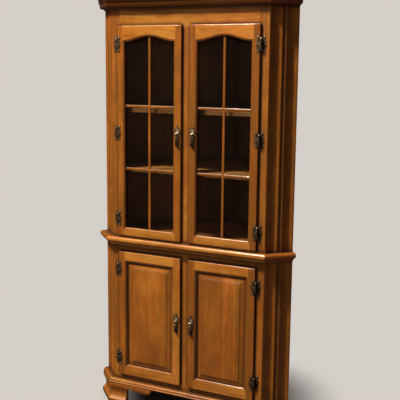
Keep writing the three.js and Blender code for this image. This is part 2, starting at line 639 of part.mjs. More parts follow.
function addHinges() {
  const [frameLeaf, doorLeaf] = hingeLeaves();
  const heights = [
    ["upper", "top", UPPER_DOOR_TOP - UPPER_HINGE_INSET],
    ["upper", "middle", (UPPER_DOOR_BOTTOM + UPPER_DOOR_TOP) / 2],
    ["upper", "bottom", UPPER_DOOR_BOTTOM + UPPER_HINGE_INSET],
    ["lower", "top", LOWER_DOOR_TOP - LOWER_HINGE_INSET],
    ["lower", "bottom", LOWER_DOOR_BOTTOM + LOWER_HINGE_INSET],
  ];
  for (const [stage, level, z] of heights) {
    const right = `${stage}_right_${level}_hinge`;
    place(`${right}_frame_leaf`, frameLeaf, brass, HINGE_X, HINGE_Y, z);
    place(`${right}_door_leaf`, doorLeaf, brass, HINGE_X, HINGE_Y, z);
    const left = `${stage}_left_${level}_hinge`;
    placeMirrored(`${left}_frame_leaf`, frameLeaf, brass, HINGE_X, HINGE_Y, z);
    placeMirrored(`${left}_door_leaf`, doorLeaf, brass, HINGE_X, HINGE_Y, z);
  }
}

// Pull's plate in x and z about its middle, with two ears that hold the pivot pin before it.
function pullPlate() {
  const right = plateShares.map(([x, z]) => [(x * PULL_WIDTH) / 2, (z * PULL_HEIGHT) / 2]);
  const left = right.slice(1, -1).reverse().map(([x, z]) => [-x, z]);
  const outline = points2([...right, ...left].reverse());
  const plate = slab(outline, 0, PULL_THICKNESS);
  const earX = EYE_WIDTH / 2 + EAR_PLAY;
  const reach = PIVOT_STAND + EYE_RADIUS;
  const ears = [-1, 1].map((side) => {
    const inner = side * earX;
    const outer = side * (earX + EAR_THICKNESS);
    return board(
      Math.min(inner, outer), Math.max(inner, outer), -reach, PULL_THICKNESS / 2,
      PIVOT_RISE - EYE_RADIUS, PIVOT_RISE + EYE_RADIUS,
    );
  });
  const pin = new THREE.CylinderGeometry(PIVOT_PIN_RADIUS, PIVOT_PIN_RADIUS, 2 * earX + EAR_THICKNESS, ROUND_SIDES)
    .rotateZ(Math.PI / 2)
    .translate(0, -PIVOT_STAND, PIVOT_RISE);
  return joined(plate, ...ears, pin);
}

// Pear-shaped drop below its own pivot, with an eye bored for the pin.
function pullDrop() {
  const section = dropShares.map(([out, down]) => [out * DROP_RADIUS, -down * DROP_LENGTH]);
  const pear = new THREE.LatheGeometry(points2(section), ROUND_SIDES).rotateX(Math.PI / 2);
  const eye = new THREE.CylinderGeometry(EYE_RADIUS, EYE_RADIUS, EYE_WIDTH, ROUND_SIDES)
    .rotateZ(Math.PI / 2);
  const bore = new THREE.CylinderGeometry(
    PIVOT_PIN_RADIUS + PIN_PLAY, PIVOT_PIN_RADIUS + PIN_PLAY, EYE_WIDTH + OVERRUN, ROUND_SIDES,
  ).rotateZ(Math.PI / 2);
  return cut(joined(pear, eye), bore);
}

function addPulls() {
  const plate = pullPlate();
  const drop = pullDrop();
  const middles = [
    ["upper", UPPER_DOOR_BOTTOM + UPPER_DOOR_HEIGHT / 2],
    ["lower", LOWER_DOOR_BOTTOM + LOWER_DOOR_HEIGHT / 2],
  ];
  for (const [stage, middle] of middles) {
    for (const [side, x] of [["left", -PIVOT_X], ["right", PIVOT_X]]) {
      const z = middle - PULL_DROP;
      place(`${stage}_${side}_pull_plate`, plate, brass, x, PIVOT_Y + PIVOT_STAND, z);
      place(`${stage}_${side}_pull_drop`, drop, brass, x, PIVOT_Y, z + PIVOT_RISE);
    }
  }
}

addPilasters();
addFaceFrame();
addBacks();
addBoards();
addMouldings();
addFeet();
addUpperDoors();
addLowerDoors();
addHinges();
addPulls();

export default group;
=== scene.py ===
"""Corner cupboard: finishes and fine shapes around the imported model.

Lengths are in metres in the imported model's own frame: +Z is up, the front faces -Y, and the rear
corner points to +Y. "Depth" is measured from the face frame's front plane, positive into the case.
"""

import json
import logging
import math
from dataclasses import dataclass, replace
from enum import Enum

import bmesh
import bpy
import numpy as np
from mathutils import Euler, Matrix, Vector


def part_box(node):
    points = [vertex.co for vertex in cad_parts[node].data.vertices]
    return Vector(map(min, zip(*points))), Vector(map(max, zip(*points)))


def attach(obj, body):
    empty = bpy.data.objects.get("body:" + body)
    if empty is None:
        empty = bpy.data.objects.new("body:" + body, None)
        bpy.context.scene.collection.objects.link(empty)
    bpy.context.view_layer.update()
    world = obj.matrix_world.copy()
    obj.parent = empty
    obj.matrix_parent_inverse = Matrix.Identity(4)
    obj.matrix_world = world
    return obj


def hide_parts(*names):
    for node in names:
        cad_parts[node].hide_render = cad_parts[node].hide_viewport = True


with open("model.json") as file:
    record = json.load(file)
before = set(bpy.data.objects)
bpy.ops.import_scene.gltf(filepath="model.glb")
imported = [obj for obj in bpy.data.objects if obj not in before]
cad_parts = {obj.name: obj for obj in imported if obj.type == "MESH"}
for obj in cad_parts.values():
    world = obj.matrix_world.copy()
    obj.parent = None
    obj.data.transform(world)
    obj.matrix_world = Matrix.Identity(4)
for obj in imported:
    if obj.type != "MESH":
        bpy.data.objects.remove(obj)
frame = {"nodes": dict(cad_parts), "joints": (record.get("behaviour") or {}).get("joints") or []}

log = logging.getLogger("cupboard")

MM = 0.001
WELD = 0.002 * MM
SHARP = math.radians(34)
FINISH_GAP = 0.1 * MM  # open line at a joint between two members
PAINTED_SHADE_ATTRIBUTE = "glaze"  # point attribute: share of painted shade, more where a surface faces away from the light
FIELD = 4.0  # each piece takes its finish from a place drawn within this distance on each axis
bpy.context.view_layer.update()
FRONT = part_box("left_stile")[0].y

RGB = tuple[float, float, float]
Piece = bpy.types.Object


class Side(Enum):
    """Left or right of the middle plane, as seen from the front."""

    LEFT = -1
    RIGHT = 1

    @property
    def word(self) -> str:
        """Name used in node names."""
        return self.name.lower()


class Grain(Enum):
    """Direction in which the wood of a piece runs."""

    UPRIGHT = (0.0, 0.0, 1.0)
    ACROSS = (1.0, 0.0, 0.0)
    LEFT_CANT = (-1.0, 1.0, 0.0)
    RIGHT_CANT = (1.0, 1.0, 0.0)


class Bend(Enum):
    """How a moulding's outline goes from one corner of its section to the next."""

    LINE = "line"
    LEVEL = "level"  # quarter ellipse that leaves level and arrives upright
    STEEP = "steep"  # quarter ellipse that leaves upright and arrives level


def quarter(start: np.ndarray, end: np.ndarray, bend: Bend, steps: int = 8) -> np.ndarray:
    """Points of a straight line or a quarter ellipse, without its start.

    Formula: start + (end - start) * share, where the shares of the two axes are sin a and 1 - cos a,
    or the other way round, for a from 0 to a quarter turn.

    Args:
        start: first point, as across and up.
        end: last point.
        bend: line, or which way the curve leaves.
        steps: number of segments of a curve.

    Returns:
        Points in rows, the last of them end.
    """
    if bend is Bend.LINE:
        return np.array([end], float)
    turn = np.linspace(0, math.pi / 2, steps + 1)[1:]
    fast, slow = np.sin(turn), 1 - np.cos(turn)
    share = np.stack([fast, slow] if bend is Bend.LEVEL else [slow, fast], axis=1)
    start = np.asarray(start, float)
    return start + (np.asarray(end, float) - start) * share


def smooth_curve(points: np.ndarray, steps: int, closed: bool = False) -> np.ndarray:
    """Catmull-Rom curve through points.

    Formula: between b and c, with neighbours a and d, half of
    2b + (c - a) t + (2a - 5b + 4c - d) t^2 + (3b - 3c + d - a) t^3.

    Args:
        points: points in rows.
        steps: segments between two given points.
        closed: whether the last point joins the first.

    Returns:
        Points in rows; an open curve keeps both ends.
    """
    points = np.asarray(points, float)
    if closed:
        a, b, c, d = (np.roll(points, shift, axis=0) for shift in (1, 0, -1, -2))
    else:
        padded = np.concatenate([points[:1], points, points[-1:]])
        a, b, c, d = padded[:-3], padded[1:-2], padded[2:-1], padded[3:]
    t = np.linspace(0, 1, steps, endpoint=False)[None, :, None]
    a, b, c, d = (p[:, None, :] for p in (a, b, c, d))
    curve = (2 * b + (c - a) * t + (2 * a - 5 * b + 4 * c - d) * t**2 + (3 * b - 3 * c + d - a) * t**3) / 2
    curve = curve.reshape(-1, points.shape[1])
    return curve if closed else np.concatenate([curve, points[-1:]])


def inset(outline: np.ndarray, distance: float) -> np.ndarray:
    """Closed outline moved towards its inside.

    Formula: each point moves along the mean of its two edges' inner normals.

    Args:
        outline: points in rows, counterclockwise.
        distance: how far each edge moves.

    Returns:
        As many points as outline has.
    """
    edge = np.roll(outline, -1, axis=0) - outline
    length = np.maximum(np.linalg.norm(edge, axis=1, keepdims=True), WELD)
    normal = np.stack([-edge[:, 1], edge[:, 0]], axis=1) / length
    mean = normal + np.roll(normal, 1, axis=0)
    mean /= np.maximum(np.linalg.norm(mean, axis=1, keepdims=True), WELD)
    return outline + distance * mean


def arc_points(start: float, end: float, steps: int) -> np.ndarray:
    """Cosine and sine in rows, for equally spaced angles from start to end."""
    turn = np.linspace(start, end, steps + 1)
    return np.stack([np.cos(turn), np.sin(turn)], axis=1)


def circle(sides: int) -> np.ndarray:
    """Points of a circle of radius 1, in rows."""
    return arc_points(0.0, 2 * math.pi, sides)[:-1]


class Shell:
    """Closed surfaces gathered into one mesh."""

    def __init__(self) -> None:
        """Starts with no surface."""
        self.points: list[np.ndarray] = []
        self.glaze: list[np.ndarray] = []
        self.faces: list[list[int]] = []
        self.count = 0

    def loft(self, rings: np.ndarray, caps: bool = True, glaze: np.ndarray | float = 0.0) -> "Shell":
        """Adds a skin over a row of closed rings.

        Formula: point j of ring i is joined to point j + 1 and to the same two points of ring i + 1.

        Args:
            rings: array of rings, points round a ring, and x, y, z.
            caps: whether the first and the last ring are filled.
            glaze: share of painted shade, by point or for all.

        Returns:
            This shell.
        """
        rows, around, _ = rings.shape
        index = np.arange(rows * around).reshape(rows, around) + self.count
        ahead = np.roll(index, -1, axis=1)
        quads = np.stack([index[:-1], ahead[:-1], ahead[1:], index[1:]], axis=-1)
        self.faces += quads.reshape(-1, 4).tolist()
        if caps:
            self.faces += [index[0, ::-1].tolist(), index[-1].tolist()]
        self.points.append(rings.reshape(-1, 3))
        self.glaze.append(np.broadcast_to(glaze, (rows, around)).ravel())
        self.count += rows * around
        return self

    def lathe(self, profile: np.ndarray, centre: Vector, axis: int, sides: int = 28) -> "Shell":
        """Adds a turned form.

        Formula: at angle a the point is centre + radius (cos a, sin a) across the axis + height along it.

        Args:
            profile: radius and height in rows, both ends on or near the axis.
            centre: the profile's origin.
            axis: 1 for an axis along y, 2 for one along z.
            sides: points round the form.

        Returns:
            This shell.
        """
        radius, height = profile[:, :1], profile[:, 1:]
        first, second = (radius * part for part in circle(sides).T)
        level = np.broadcast_to(height, first.shape)
        columns = [first, level, second] if axis == 1 else [first, second, level]
        return self.loft(np.stack(columns, axis=-1) + np.array(centre))

    def plate(self, outline: np.ndarray, back: float, face: float, ease: float, steps: int = 4) -> "Shell":
        """Adds a flat plate in x and z with a rounded front edge.

        Formula: the edge's inset is ease (1 - cos a) and its height ease sin a, for a up to a quarter turn.

        Args:
            outline: x and z in rows, counterclockwise.
            back: y of the rear face.
            face: y of the front face.
            ease: radius of the front edge.
            steps: segments of the rounding.

        Returns:
            This shell.
        """
        turn = np.linspace(0, math.pi / 2, steps + 1)
        levels = np.concatenate([[back], face + ease * (1 - np.sin(turn))])
        insets = np.concatenate([[0.0], ease * (1 - np.cos(turn))])
        flats = np.stack([inset(outline, distance) for distance in insets])
        depth = np.broadcast_to(levels[:, None], flats.shape[:2])
        return self.loft(np.stack([flats[..., 0], depth, flats[..., 1]], axis=-1))

    def bar(self, outline: np.ndarray, ends: tuple[float, float], axis: int) -> "Shell":
        """Adds a straight bar of one section.

        Formula: the section stands in the other two axes, once at each end of the axis.

        Args:
            outline: the section's places on the other two axes, in rows.
            ends: where the bar starts and ends on its axis.
            axis: 0, 1 or 2 for x, y or z.

        Returns:
            This shell.
        """
        return self.loft(np.stack([np.insert(outline, axis, end, axis=1) for end in ends]))

    def build(self, name: str, sharp: float = SHARP) -> Piece:
        """Makes the object: doubles merged, faces turned outwards, smooth but for sharp edges.

        Args:
            name: the piece's name.
            sharp: angle between faces from which an edge stays sharp.

        Returns:
            The new object, at the origin.
        """
        mesh = bpy.data.meshes.new(name)
        mesh.from_pydata(np.concatenate(self.points).tolist(), [], self.faces)
        glaze = mesh.attributes.new(PAINTED_SHADE_ATTRIBUTE, "FLOAT", "POINT")
        glaze.data.foreach_set("value", np.concatenate(self.glaze))
        work = bmesh.new()
        work.from_mesh(mesh)
        bmesh.ops.remove_doubles(work, verts=work.verts, dist=WELD)
        bmesh.ops.dissolve_degenerate(work, edges=work.edges, dist=WELD)
        bmesh.ops.recalc_face_normals(work, faces=work.faces)
        work.to_mesh(mesh)
        work.free()
        mesh.shade_smooth()
        mesh.set_sharp_from_angle(angle=sharp)
        piece = bpy.data.objects.new(name, mesh)
        bpy.context.scene.collection.objects.link(piece)
        return piece


class Signal:
    """Output socket of a shader node, with arithmetic that adds Math nodes."""

    def __init__(self, tree: "Shader", socket: bpy.types.NodeSocket) -> None:
        """Keeps the socket and the tree that it belongs to."""
        self.tree = tree
        self.socket = socket

    def _math(self, operation: str, first: "Signal | float", second: "Signal | float") -> "Signal":
        """Result of one Math node on two values."""
        return self.tree.node("ShaderNodeMath", {"operation": operation}, {0: first, 1: second})

    def __add__(self, other: "Signal | float") -> "Signal":
        """Sum."""
        return self._math("ADD", self, other)

    def __sub__(self, other: "Signal | float") -> "Signal":
        """Difference."""
        return self._math("SUBTRACT", self, other)

    def __rsub__(self, other: float) -> "Signal":
        """Number less this value."""
        return self._math("SUBTRACT", other, self)

    def __mul__(self, other: "Signal | float") -> "Signal":
        """Product."""
        return self._math("MULTIPLY", self, other)

    def __pow__(self, other: float) -> "Signal":
        """Power."""
        return self._math("POWER", self, other)

    __radd__ = __add__
    __rmul__ = __mul__

    def floor(self) -> "Signal":
        """Whole part."""
        return self._math("FLOOR", self, 0.0)

    def larger(self, other: "Signal | float") -> "Signal":
        """The larger of two values."""
        return self._math("MAXIMUM", self, other)

    def between(self, low: float, high: float) -> "Signal":
        """Smooth step from 0 at low to 1 at high."""
        values = {"Value": self, "From Min": low, "From Max": high}
        return self.tree.node("ShaderNodeMapRange", {"interpolation_type": "SMOOTHSTEP"}, values)

    def beside(self, name: str) -> "Signal":
        """Another output of the same node."""
        return Signal(self.tree, self.socket.node.outputs[name])


@dataclass(frozen=True)
class Layer:
    """One noise in a finish."""

    scale: float  # features for each metre
    detail: float = 2.0
    rough: float = 0.5
    along: float = 1.0  # its scale along the grain, as a share of that across
    weight: float = 1.0  # in the sum that it joins


class Shader:
    """Node tree of one material, or of the surroundings."""

    def __init__(self, name: str, surroundings: bool = False) -> None:
        """Makes an empty tree with its output node.

        Args:
            name: name of the material or world.
            surroundings: whether it is a world.
        """
        self.home = bpy.data.worlds.new(name) if surroundings else bpy.data.materials.new(name)
        self.home.use_nodes = True
        self.nodes = self.home.node_tree.nodes
        self.links = self.home.node_tree.links
        self.nodes.clear()
        kind = "World" if surroundings else "Material"
        self.output = self.nodes.new(f"ShaderNodeOutput{kind}")

    def node(self, kind: str, settings: dict, sockets: dict, result: str | int = 0) -> Signal:
        """Adds a node.

        Args:
            kind: the node's type.
            settings: properties that are set first; "stops" holds a colour ramp's places and colours.
            sockets: values or signals by the input's name or number.
            result: name or number of the output wanted.

        Returns:
            That output.
        """
        made = self.nodes.new(kind)
        for key, value in settings.items():
            if key == "stops":
                ramp = made.color_ramp
                for _ in value[2:]:
                    ramp.elements.new(1.0)
                for stop, (place, colour) in zip(ramp.elements, value):
                    stop.position = place
                    stop.color = (*colour, 1.0)
            else:
                setattr(made, key, value)
        for key, value in sockets.items():
            if isinstance(value, Signal):
                self.links.new(value.socket, made.inputs[key])
            else:
                made.inputs[key].default_value = value
        return Signal(self, made.outputs[result])

    def mix(
        self, factor: Signal | float, first: Signal | RGB, second: Signal | RGB, blend: str = "MIX",
    ) -> Signal:
        """Mixes two colours.

        Args:
            factor: share of the second.
            first: a colour.
            second: the colour that is mixed or blended in.
            blend: how it is blended.

        Returns:
            The mixed colour.
        """
        pair = [colour if isinstance(colour, Signal) else (*colour, 1.0) for colour in (first, second)]
        settings = {"data_type": "RGBA", "blend_type": blend}
        sockets = {"Factor": factor, 6: pair[0], 7: pair[1]}  # 6, 7 and 2 are the sockets for colours
        return self.node("ShaderNodeMix", settings, sockets, 2)

    def place(self, shift: np.ndarray, turn: Euler = Euler()) -> Signal:
        """Object coordinates, turned and then shifted."""
        here = self.node("ShaderNodeTexCoord", {}, {}, "Object")
        sockets = {"Vector": here, "Location": Vector(shift), "Rotation": turn}
        return self.node("ShaderNodeMapping", {}, sockets)

    def noise(self, place: Signal, layer: Layer) -> Signal:
        """Noise of one layer.

        Args:
            place: coordinates, the third of them along the grain.
            layer: how fine and how drawn out it is.

        Returns:
            Value from 0 to 1.
        """
        if layer.along != 1.0:
            shares = (1.0, 1.0, layer.along)
            place = self.node("ShaderNodeVectorMath", {"operation": "MULTIPLY"}, {0: place, 1: shares})
        values = {"Vector": place, "Scale": layer.scale, "Detail": layer.detail, "Roughness": layer.rough}
        return self.node("ShaderNodeTexNoise", {}, values)

    def closed(self, distance: float, samples: int = 8) -> Signal:
        """How closed in the surface is within a distance: 0 on an open face, more in a hollow."""
        kind = "ShaderNodeAmbientOcclusion"
        return 1 - self.node(kind, {"samples": samples}, {"Distance": distance}, "AO")

    def edges(self, distance: float, span: tuple[float, float] = (0.08, 0.45)) -> Signal:
        """Finds the arrises.

        Formula: rays go a little way from the surface into the piece, and near an arris they come out.

        Args:
            distance: how far the rays go.
            span: shares of rays that come out, at which an arris starts and is full.

        Returns:
            Value from 0 on a flat face to 1 on an arris.
        """
        settings = {"samples": 6, "only_local": True, "inside": True}
        thick = self.node("ShaderNodeAmbientOcclusion", settings, {"Distance": distance}, "AO")
        return (1 - thick).between(*span)

    def bump(self, height: Signal, strength: float, distance: float) -> Signal:
        """Normal of a surface with a fine relief."""
        sockets = {"Height": height, "Strength": strength, "Distance": distance}
        return self.node("ShaderNodeBump", {}, sockets)

    def finish(self, surface: Signal) -> bpy.types.Material | bpy.types.World:
        """Joins the surface to the output and returns the material or world."""
        self.links.new(surface.socket, self.output.inputs["Surface"])
        return self.home


@dataclass(frozen=True)
class WoodFinish:
    """Lacquered wood with a grain, darker glazing and painted shade in its hollows, and a soft gloss."""

    pale: RGB
    middle: RGB
    deep: RGB
    # colour of the glaze in the pores, also used for painted shade
    glaze: RGB
    roughness: float = 0.34
    coat: float = 0.4
    coat_roughness: float = 0.12
    specular: float = 0.3
    shade: float = 0.0  # added to the tone: more is darker
    across_lift: float = 0.3  # painted sheen: how much paler a piece is made whose grain lies level, as if it caught more light
    wander: float = 0.12  # largest change of tone from piece to piece
    level: float = 0.525  # mean tone before these
    stops: tuple[float, float, float] = (0.12, 0.5, 0.92)  # tones of pale, middle and deep
    strip: float = 0.0  # width of glued strips, or none
    strip_change: float = 0.3  # range of tone from strip to strip
    golden: RGB = (0.95, 1.04, 0.96)
    ruddy: RGB = (1.05, 0.95, 0.92)
    pith: tuple[float, float] = (0.35, 0.41)  # least and most depth of the log's middle line
    lean: float = 0.06  # largest lean of that line
    aside: float = 0.2  # its largest place to the side
    wave: float = 0.09  # how far the rings wave
    first_ring: float = 9.0
    rings: Layer = Layer(85.0, 3.0, 0.6, weight=0.55)
    drift: Layer = Layer(5.0, 3.0, along=0.22)
    broad: Layer = Layer(9.0, 3.0, 0.55, 0.45, 1.35)
    mottle: Layer = Layer(42.0, 3.0, 0.6, 0.4, 0.8)
    streaks: Layer = Layer(110.0, 4.0, 0.6, 0.05, 0.45)
    fibres: Layer = Layer(900.0, 2.0, 0.6, 0.02, 0.4)
    hues: Layer = Layer(28.0, along=0.15)
    hue_range: tuple[float, float] = (0.3, 0.7)
    pores: Layer = Layer(420.0, 1.0, along=0.035)
    pore_range: tuple[float, float] = (0.64, 0.74)
    pore_share: float = 0.22
    glaze_share: float = 0.55  # how much of the colour glazing and painted shade cover in a near hollow
    glaze_reach: float = 14 * MM
    glaze_range: tuple[float, float] = (0.02, 0.14)
    dust_share: float = 0.5  # the same for painted shade on a sheltered face, such as under a moulding
    dust_reach: float = 60 * MM
    dust_range: tuple[float, float] = (0.15, 0.35)
    left_share: float = 0.95  # the same for the painted shade that the points carry
    rubbed_share: float = 0.55  # how pale an arris is
    rubbed_reach: float = 1.6 * MM
    dulling: tuple[float, float, float] = (0.16, 0.08, 0.15)  # roughness of streaks, fibres, and the glazing and painted shade
    relief: tuple[float, float, float] = (0.5, 0.6, -0.5)  # heights of streaks, fibres and pores
    relief_strength: float = 0.12
    relief_height: float = 0.4 * MM

    def growth(
        self, shader: Shader, place: Signal, turn: Euler, draw: np.random.Generator,
    ) -> tuple[Signal, Signal]:
        """Growth rings as the saw cut through them.

        Formula: noise on the distance from the log's middle line, which leans and waves a little.

        Args:
            shader: the material's tree.
            place: the piece's place in the log.
            turn: turns the grain upright.
            draw: source of the line's own depth, lean and side.

        Returns:
            The rings, from 0 to 1, and the distance across the piece.
        """
        drift = shader.noise(place, self.drift)
        depth = float(draw.uniform(*self.pith))
        across = shader.node("ShaderNodeSeparateXYZ", {}, {"Vector": shader.place(np.zeros(3), turn)}, "X")
        lean = float(draw.uniform(-self.lean, self.lean))
        aside = float(draw.uniform(-self.aside, self.aside))
        side = across + across.beside("Z") * lean + drift * self.wave + aside
        deep = across.beside("Y") + depth
        radius = (side * side + deep * deep) ** 0.5 + float(draw.uniform(0, self.first_ring))
        layer = self.rings
        sockets = {"W": radius, "Scale": layer.scale, "Detail": layer.detail, "Roughness": layer.rough}
        return shader.node("ShaderNodeTexNoise", {"noise_dimensions": "1D"}, sockets), across

    def hidden(self, shader: Shader) -> Signal:
        """Share of the colour that glazing and painted shade cover.

        Formula: what each of three covers stays covered: near hollows with glazing and painted shade,
        sheltered faces with painted shade, and the points that carry painted shade of their own.

        Args:
            shader: the material's tree.

        Returns:
            Value from 0 to 1.
        """
        # glazing and painted shade in near hollows, found by ambient occlusion
        near = shader.closed(self.glaze_reach).between(*self.glaze_range) * self.glaze_share
        # painted shade on faces that a moulding or a door shelters
        wide = shader.closed(self.dust_reach).between(*self.dust_range) * self.dust_share
        # painted shade that the points carry, set by which way each sticking faces the light
        left = shader.node("ShaderNodeAttribute", {"attribute_name": PAINTED_SHADE_ATTRIBUTE}, {}, "Fac") * self.left_share
        return 1 - (1 - near) * (1 - wide) * (1 - left)

    def material(self, name: str, grain: Grain, draw: np.random.Generator) -> bpy.types.Material:
        """Makes the material for one piece.

        Formula: the tone is a sum of the rings and of noises drawn out along the grain, and runs along a
        ramp from pale to deep.

        Args:
            name: the material's name.
            grain: direction of the wood.
            draw: source of this piece's own place in the log.

        Returns:
            The material.
        """
        shader = Shader(name)
        turn = Vector(grain.value).rotation_difference(Vector(Grain.UPRIGHT.value)).to_euler()
        place = shader.place(draw.uniform(-FIELD, FIELD, 3), turn)
        rings, across = self.growth(shader, place, turn, draw)
        layers = (self.rings, self.broad, self.mottle, self.streaks, self.fibres)
        noises = [rings, *(shader.noise(place, layer) for layer in layers[1:])]
        # painted sheen: a piece whose grain lies level is made paler
        lift = self.across_lift if grain is Grain.ACROSS else 0.0
        tone = self.level + self.shade - lift + float(draw.uniform(-self.wander, self.wander))
        tone -= sum(layer.weight for layer in layers) / 2
        for layer, noise in zip(layers, noises):
            tone = noise * layer.weight + tone
        if self.strip:
            number = (across * (1 / self.strip) + float(draw.uniform(0, 1))).floor()
            chance = shader.node("ShaderNodeTexWhiteNoise", {"noise_dimensions": "1D"}, {"W": number}, 0)
            tone = tone + (chance - 0.5) * self.strip_change
        stops = list(zip(self.stops, (self.pale, self.middle, self.deep)))
        colour = shader.node("ShaderNodeValToRGB", {"stops": stops}, {"Fac": tone}, "Color")
        hue = shader.noise(place, self.hues).between(*self.hue_range)
        colour = shader.mix(1.0, colour, shader.mix(hue, self.golden, self.ruddy), "MULTIPLY")
        pores = shader.noise(place, self.pores).between(*self.pore_range)
        colour = shader.mix(pores * self.pore_share, colour, self.glaze)
        # glazing and painted shade: the colour goes dark in hollows, on sheltered faces and on marked points
        hidden = self.hidden(shader)
        colour = shader.mix(hidden, colour, self.glaze)
        colour = shader.mix(shader.edges(self.rubbed_reach) * self.rubbed_share, colour, self.pale)
        streak, fibre = noises[-2:]
        even = self.roughness - (self.dulling[0] + self.dulling[1]) / 2
        rough = streak * self.dulling[0] + fibre * self.dulling[1] + hidden * self.dulling[2] + even
        height = streak * self.relief[0] + fibre * self.relief[1] + pores * self.relief[2]
        return shader.finish(shader.node("ShaderNodeBsdfPrincipled", {}, {
            "Base Color": colour, "Roughness": rough, "Coat Weight": self.coat,
            "Coat Roughness": self.coat_roughness, "Specular IOR Level": self.specular,
            "Normal": shader.bump(height, self.relief_strength, self.relief_height),
        }))


@dataclass(frozen=True)
class BrassFinish:
    """Antique brass: brown in its hollows and over its flats, rubbed yellow on its edges."""

    dark: RGB = (0.04, 0.025, 0.014)
    middle: RGB = (0.19, 0.12, 0.062)
    bright: RGB = (0.78, 0.56, 0.32)
    roughness: float = 0.42  # at its smoothest
    patches: Layer = Layer(160.0, 4.0, 0.6, weight=0.6)  # weights in the relief
    specks: Layer = Layer(900.0, 3.0, 0.6, weight=0.4)
    patch_range: tuple[float, float] = (0.35, 0.65)
    hollow_reach: float = 5 * MM
    hollow_range: tuple[float, float] = (0.05, 0.7)
    hollow_samples: int = 6
    hollow_share: float = 0.8  # how dark a hollow is
    rubbed_reach: float = 1.2 * MM
    rubbed_shares: tuple[float, float] = (0.55, 0.6)  # how bright an edge is, and what specks add to that
    dulling: tuple[float, float, float] = (0.25, 0.2, -0.12)  # roughness of patches, hollows and edges
    relief_strength: float = 0.25
    relief_height: float = 0.3 * MM

    def material(self, name: str, draw: np.random.Generator) -> bpy.types.Material:
        """Makes the material for one fitting.

        Formula: patches of noise choose between dark and middle, hollows go dark and edges bright.

        Args:
            name: the material's name.
            draw: source of this fitting's own patches.

        Returns:
            The material.
        """
        shader = Shader(name)
        place = shader.place(draw.uniform(-FIELD, FIELD, 3))
        patch = shader.noise(place, self.patches)
        speck = shader.noise(place, self.specks)
        hidden = shader.closed(self.hollow_reach, self.hollow_samples).between(*self.hollow_range)
        rubbed = shader.edges(self.rubbed_reach)
        colour = shader.mix(patch.between(*self.patch_range), self.middle, self.dark)
        bright = rubbed * (speck * self.rubbed_shares[1] + self.rubbed_shares[0])
        colour = shader.mix(bright, colour, self.bright)
        colour = shader.mix(hidden * self.hollow_share, colour, self.dark)
        rough = patch * self.dulling[0] + hidden * self.dulling[1] + rubbed * self.dulling[2]
        height = patch * self.patches.weight + speck * self.specks.weight
        relief = shader.bump(height, self.relief_strength, self.relief_height)
        return shader.finish(shader.node("ShaderNodeBsdfPrincipled", {}, {
            "Base Color": colour, "Metallic": 1.0, "Roughness": rough + self.roughness, "Normal": relief,
        }))


@dataclass(frozen=True)
class GlassFinish:
    """Thin window glass: mostly clear, with faint smears."""

    tint: RGB = (0.02, 0.013, 0.008)
    cover: float = 0.16  # how much of what lies behind it is dulled
    smear_cover: float = 0.06
    roughness: float = 0.02
    smear_roughness: float = 0.06
    smears: Layer = Layer(6.0, 4.0, 0.6)
    smear_range: tuple[float, float] = (0.5, 0.75)
    waves: Layer = Layer(9.0, 1.0)
    wave_strength: float = 0.05
    wave_height: float = 2 * MM

    def material(self, name: str, draw: np.random.Generator) -> bpy.types.Material:
        """Makes the glass.

        Formula: roughness and cover rise a little where broad noise is high.

        Args:
            name: the material's name.
            draw: source of this pane's own smears.

        Returns:
            The material.
        """
        shader = Shader(name)
        place = shader.place(draw.uniform(-FIELD, FIELD, 3))
        smear = shader.noise(place, self.smears).between(*self.smear_range)
        waves = shader.noise(place, self.waves)
        return shader.finish(shader.node("ShaderNodeBsdfPrincipled", {}, {
            "Base Color": (*self.tint, 1.0),
            "Roughness": smear * self.smear_roughness + self.roughness,
            "Normal": shader.bump(waves, self.wave_strength, self.wave_height),
            "Alpha": smear * self.smear_cover + self.cover,
        }))


HONEY: dict[str, RGB] = {
    "pale": (0.56, 0.205, 0.03), "middle": (0.4, 0.121, 0.012), "deep": (0.262, 0.081, 0.01),
    "glaze": (0.022, 0.005, 0.001),
}


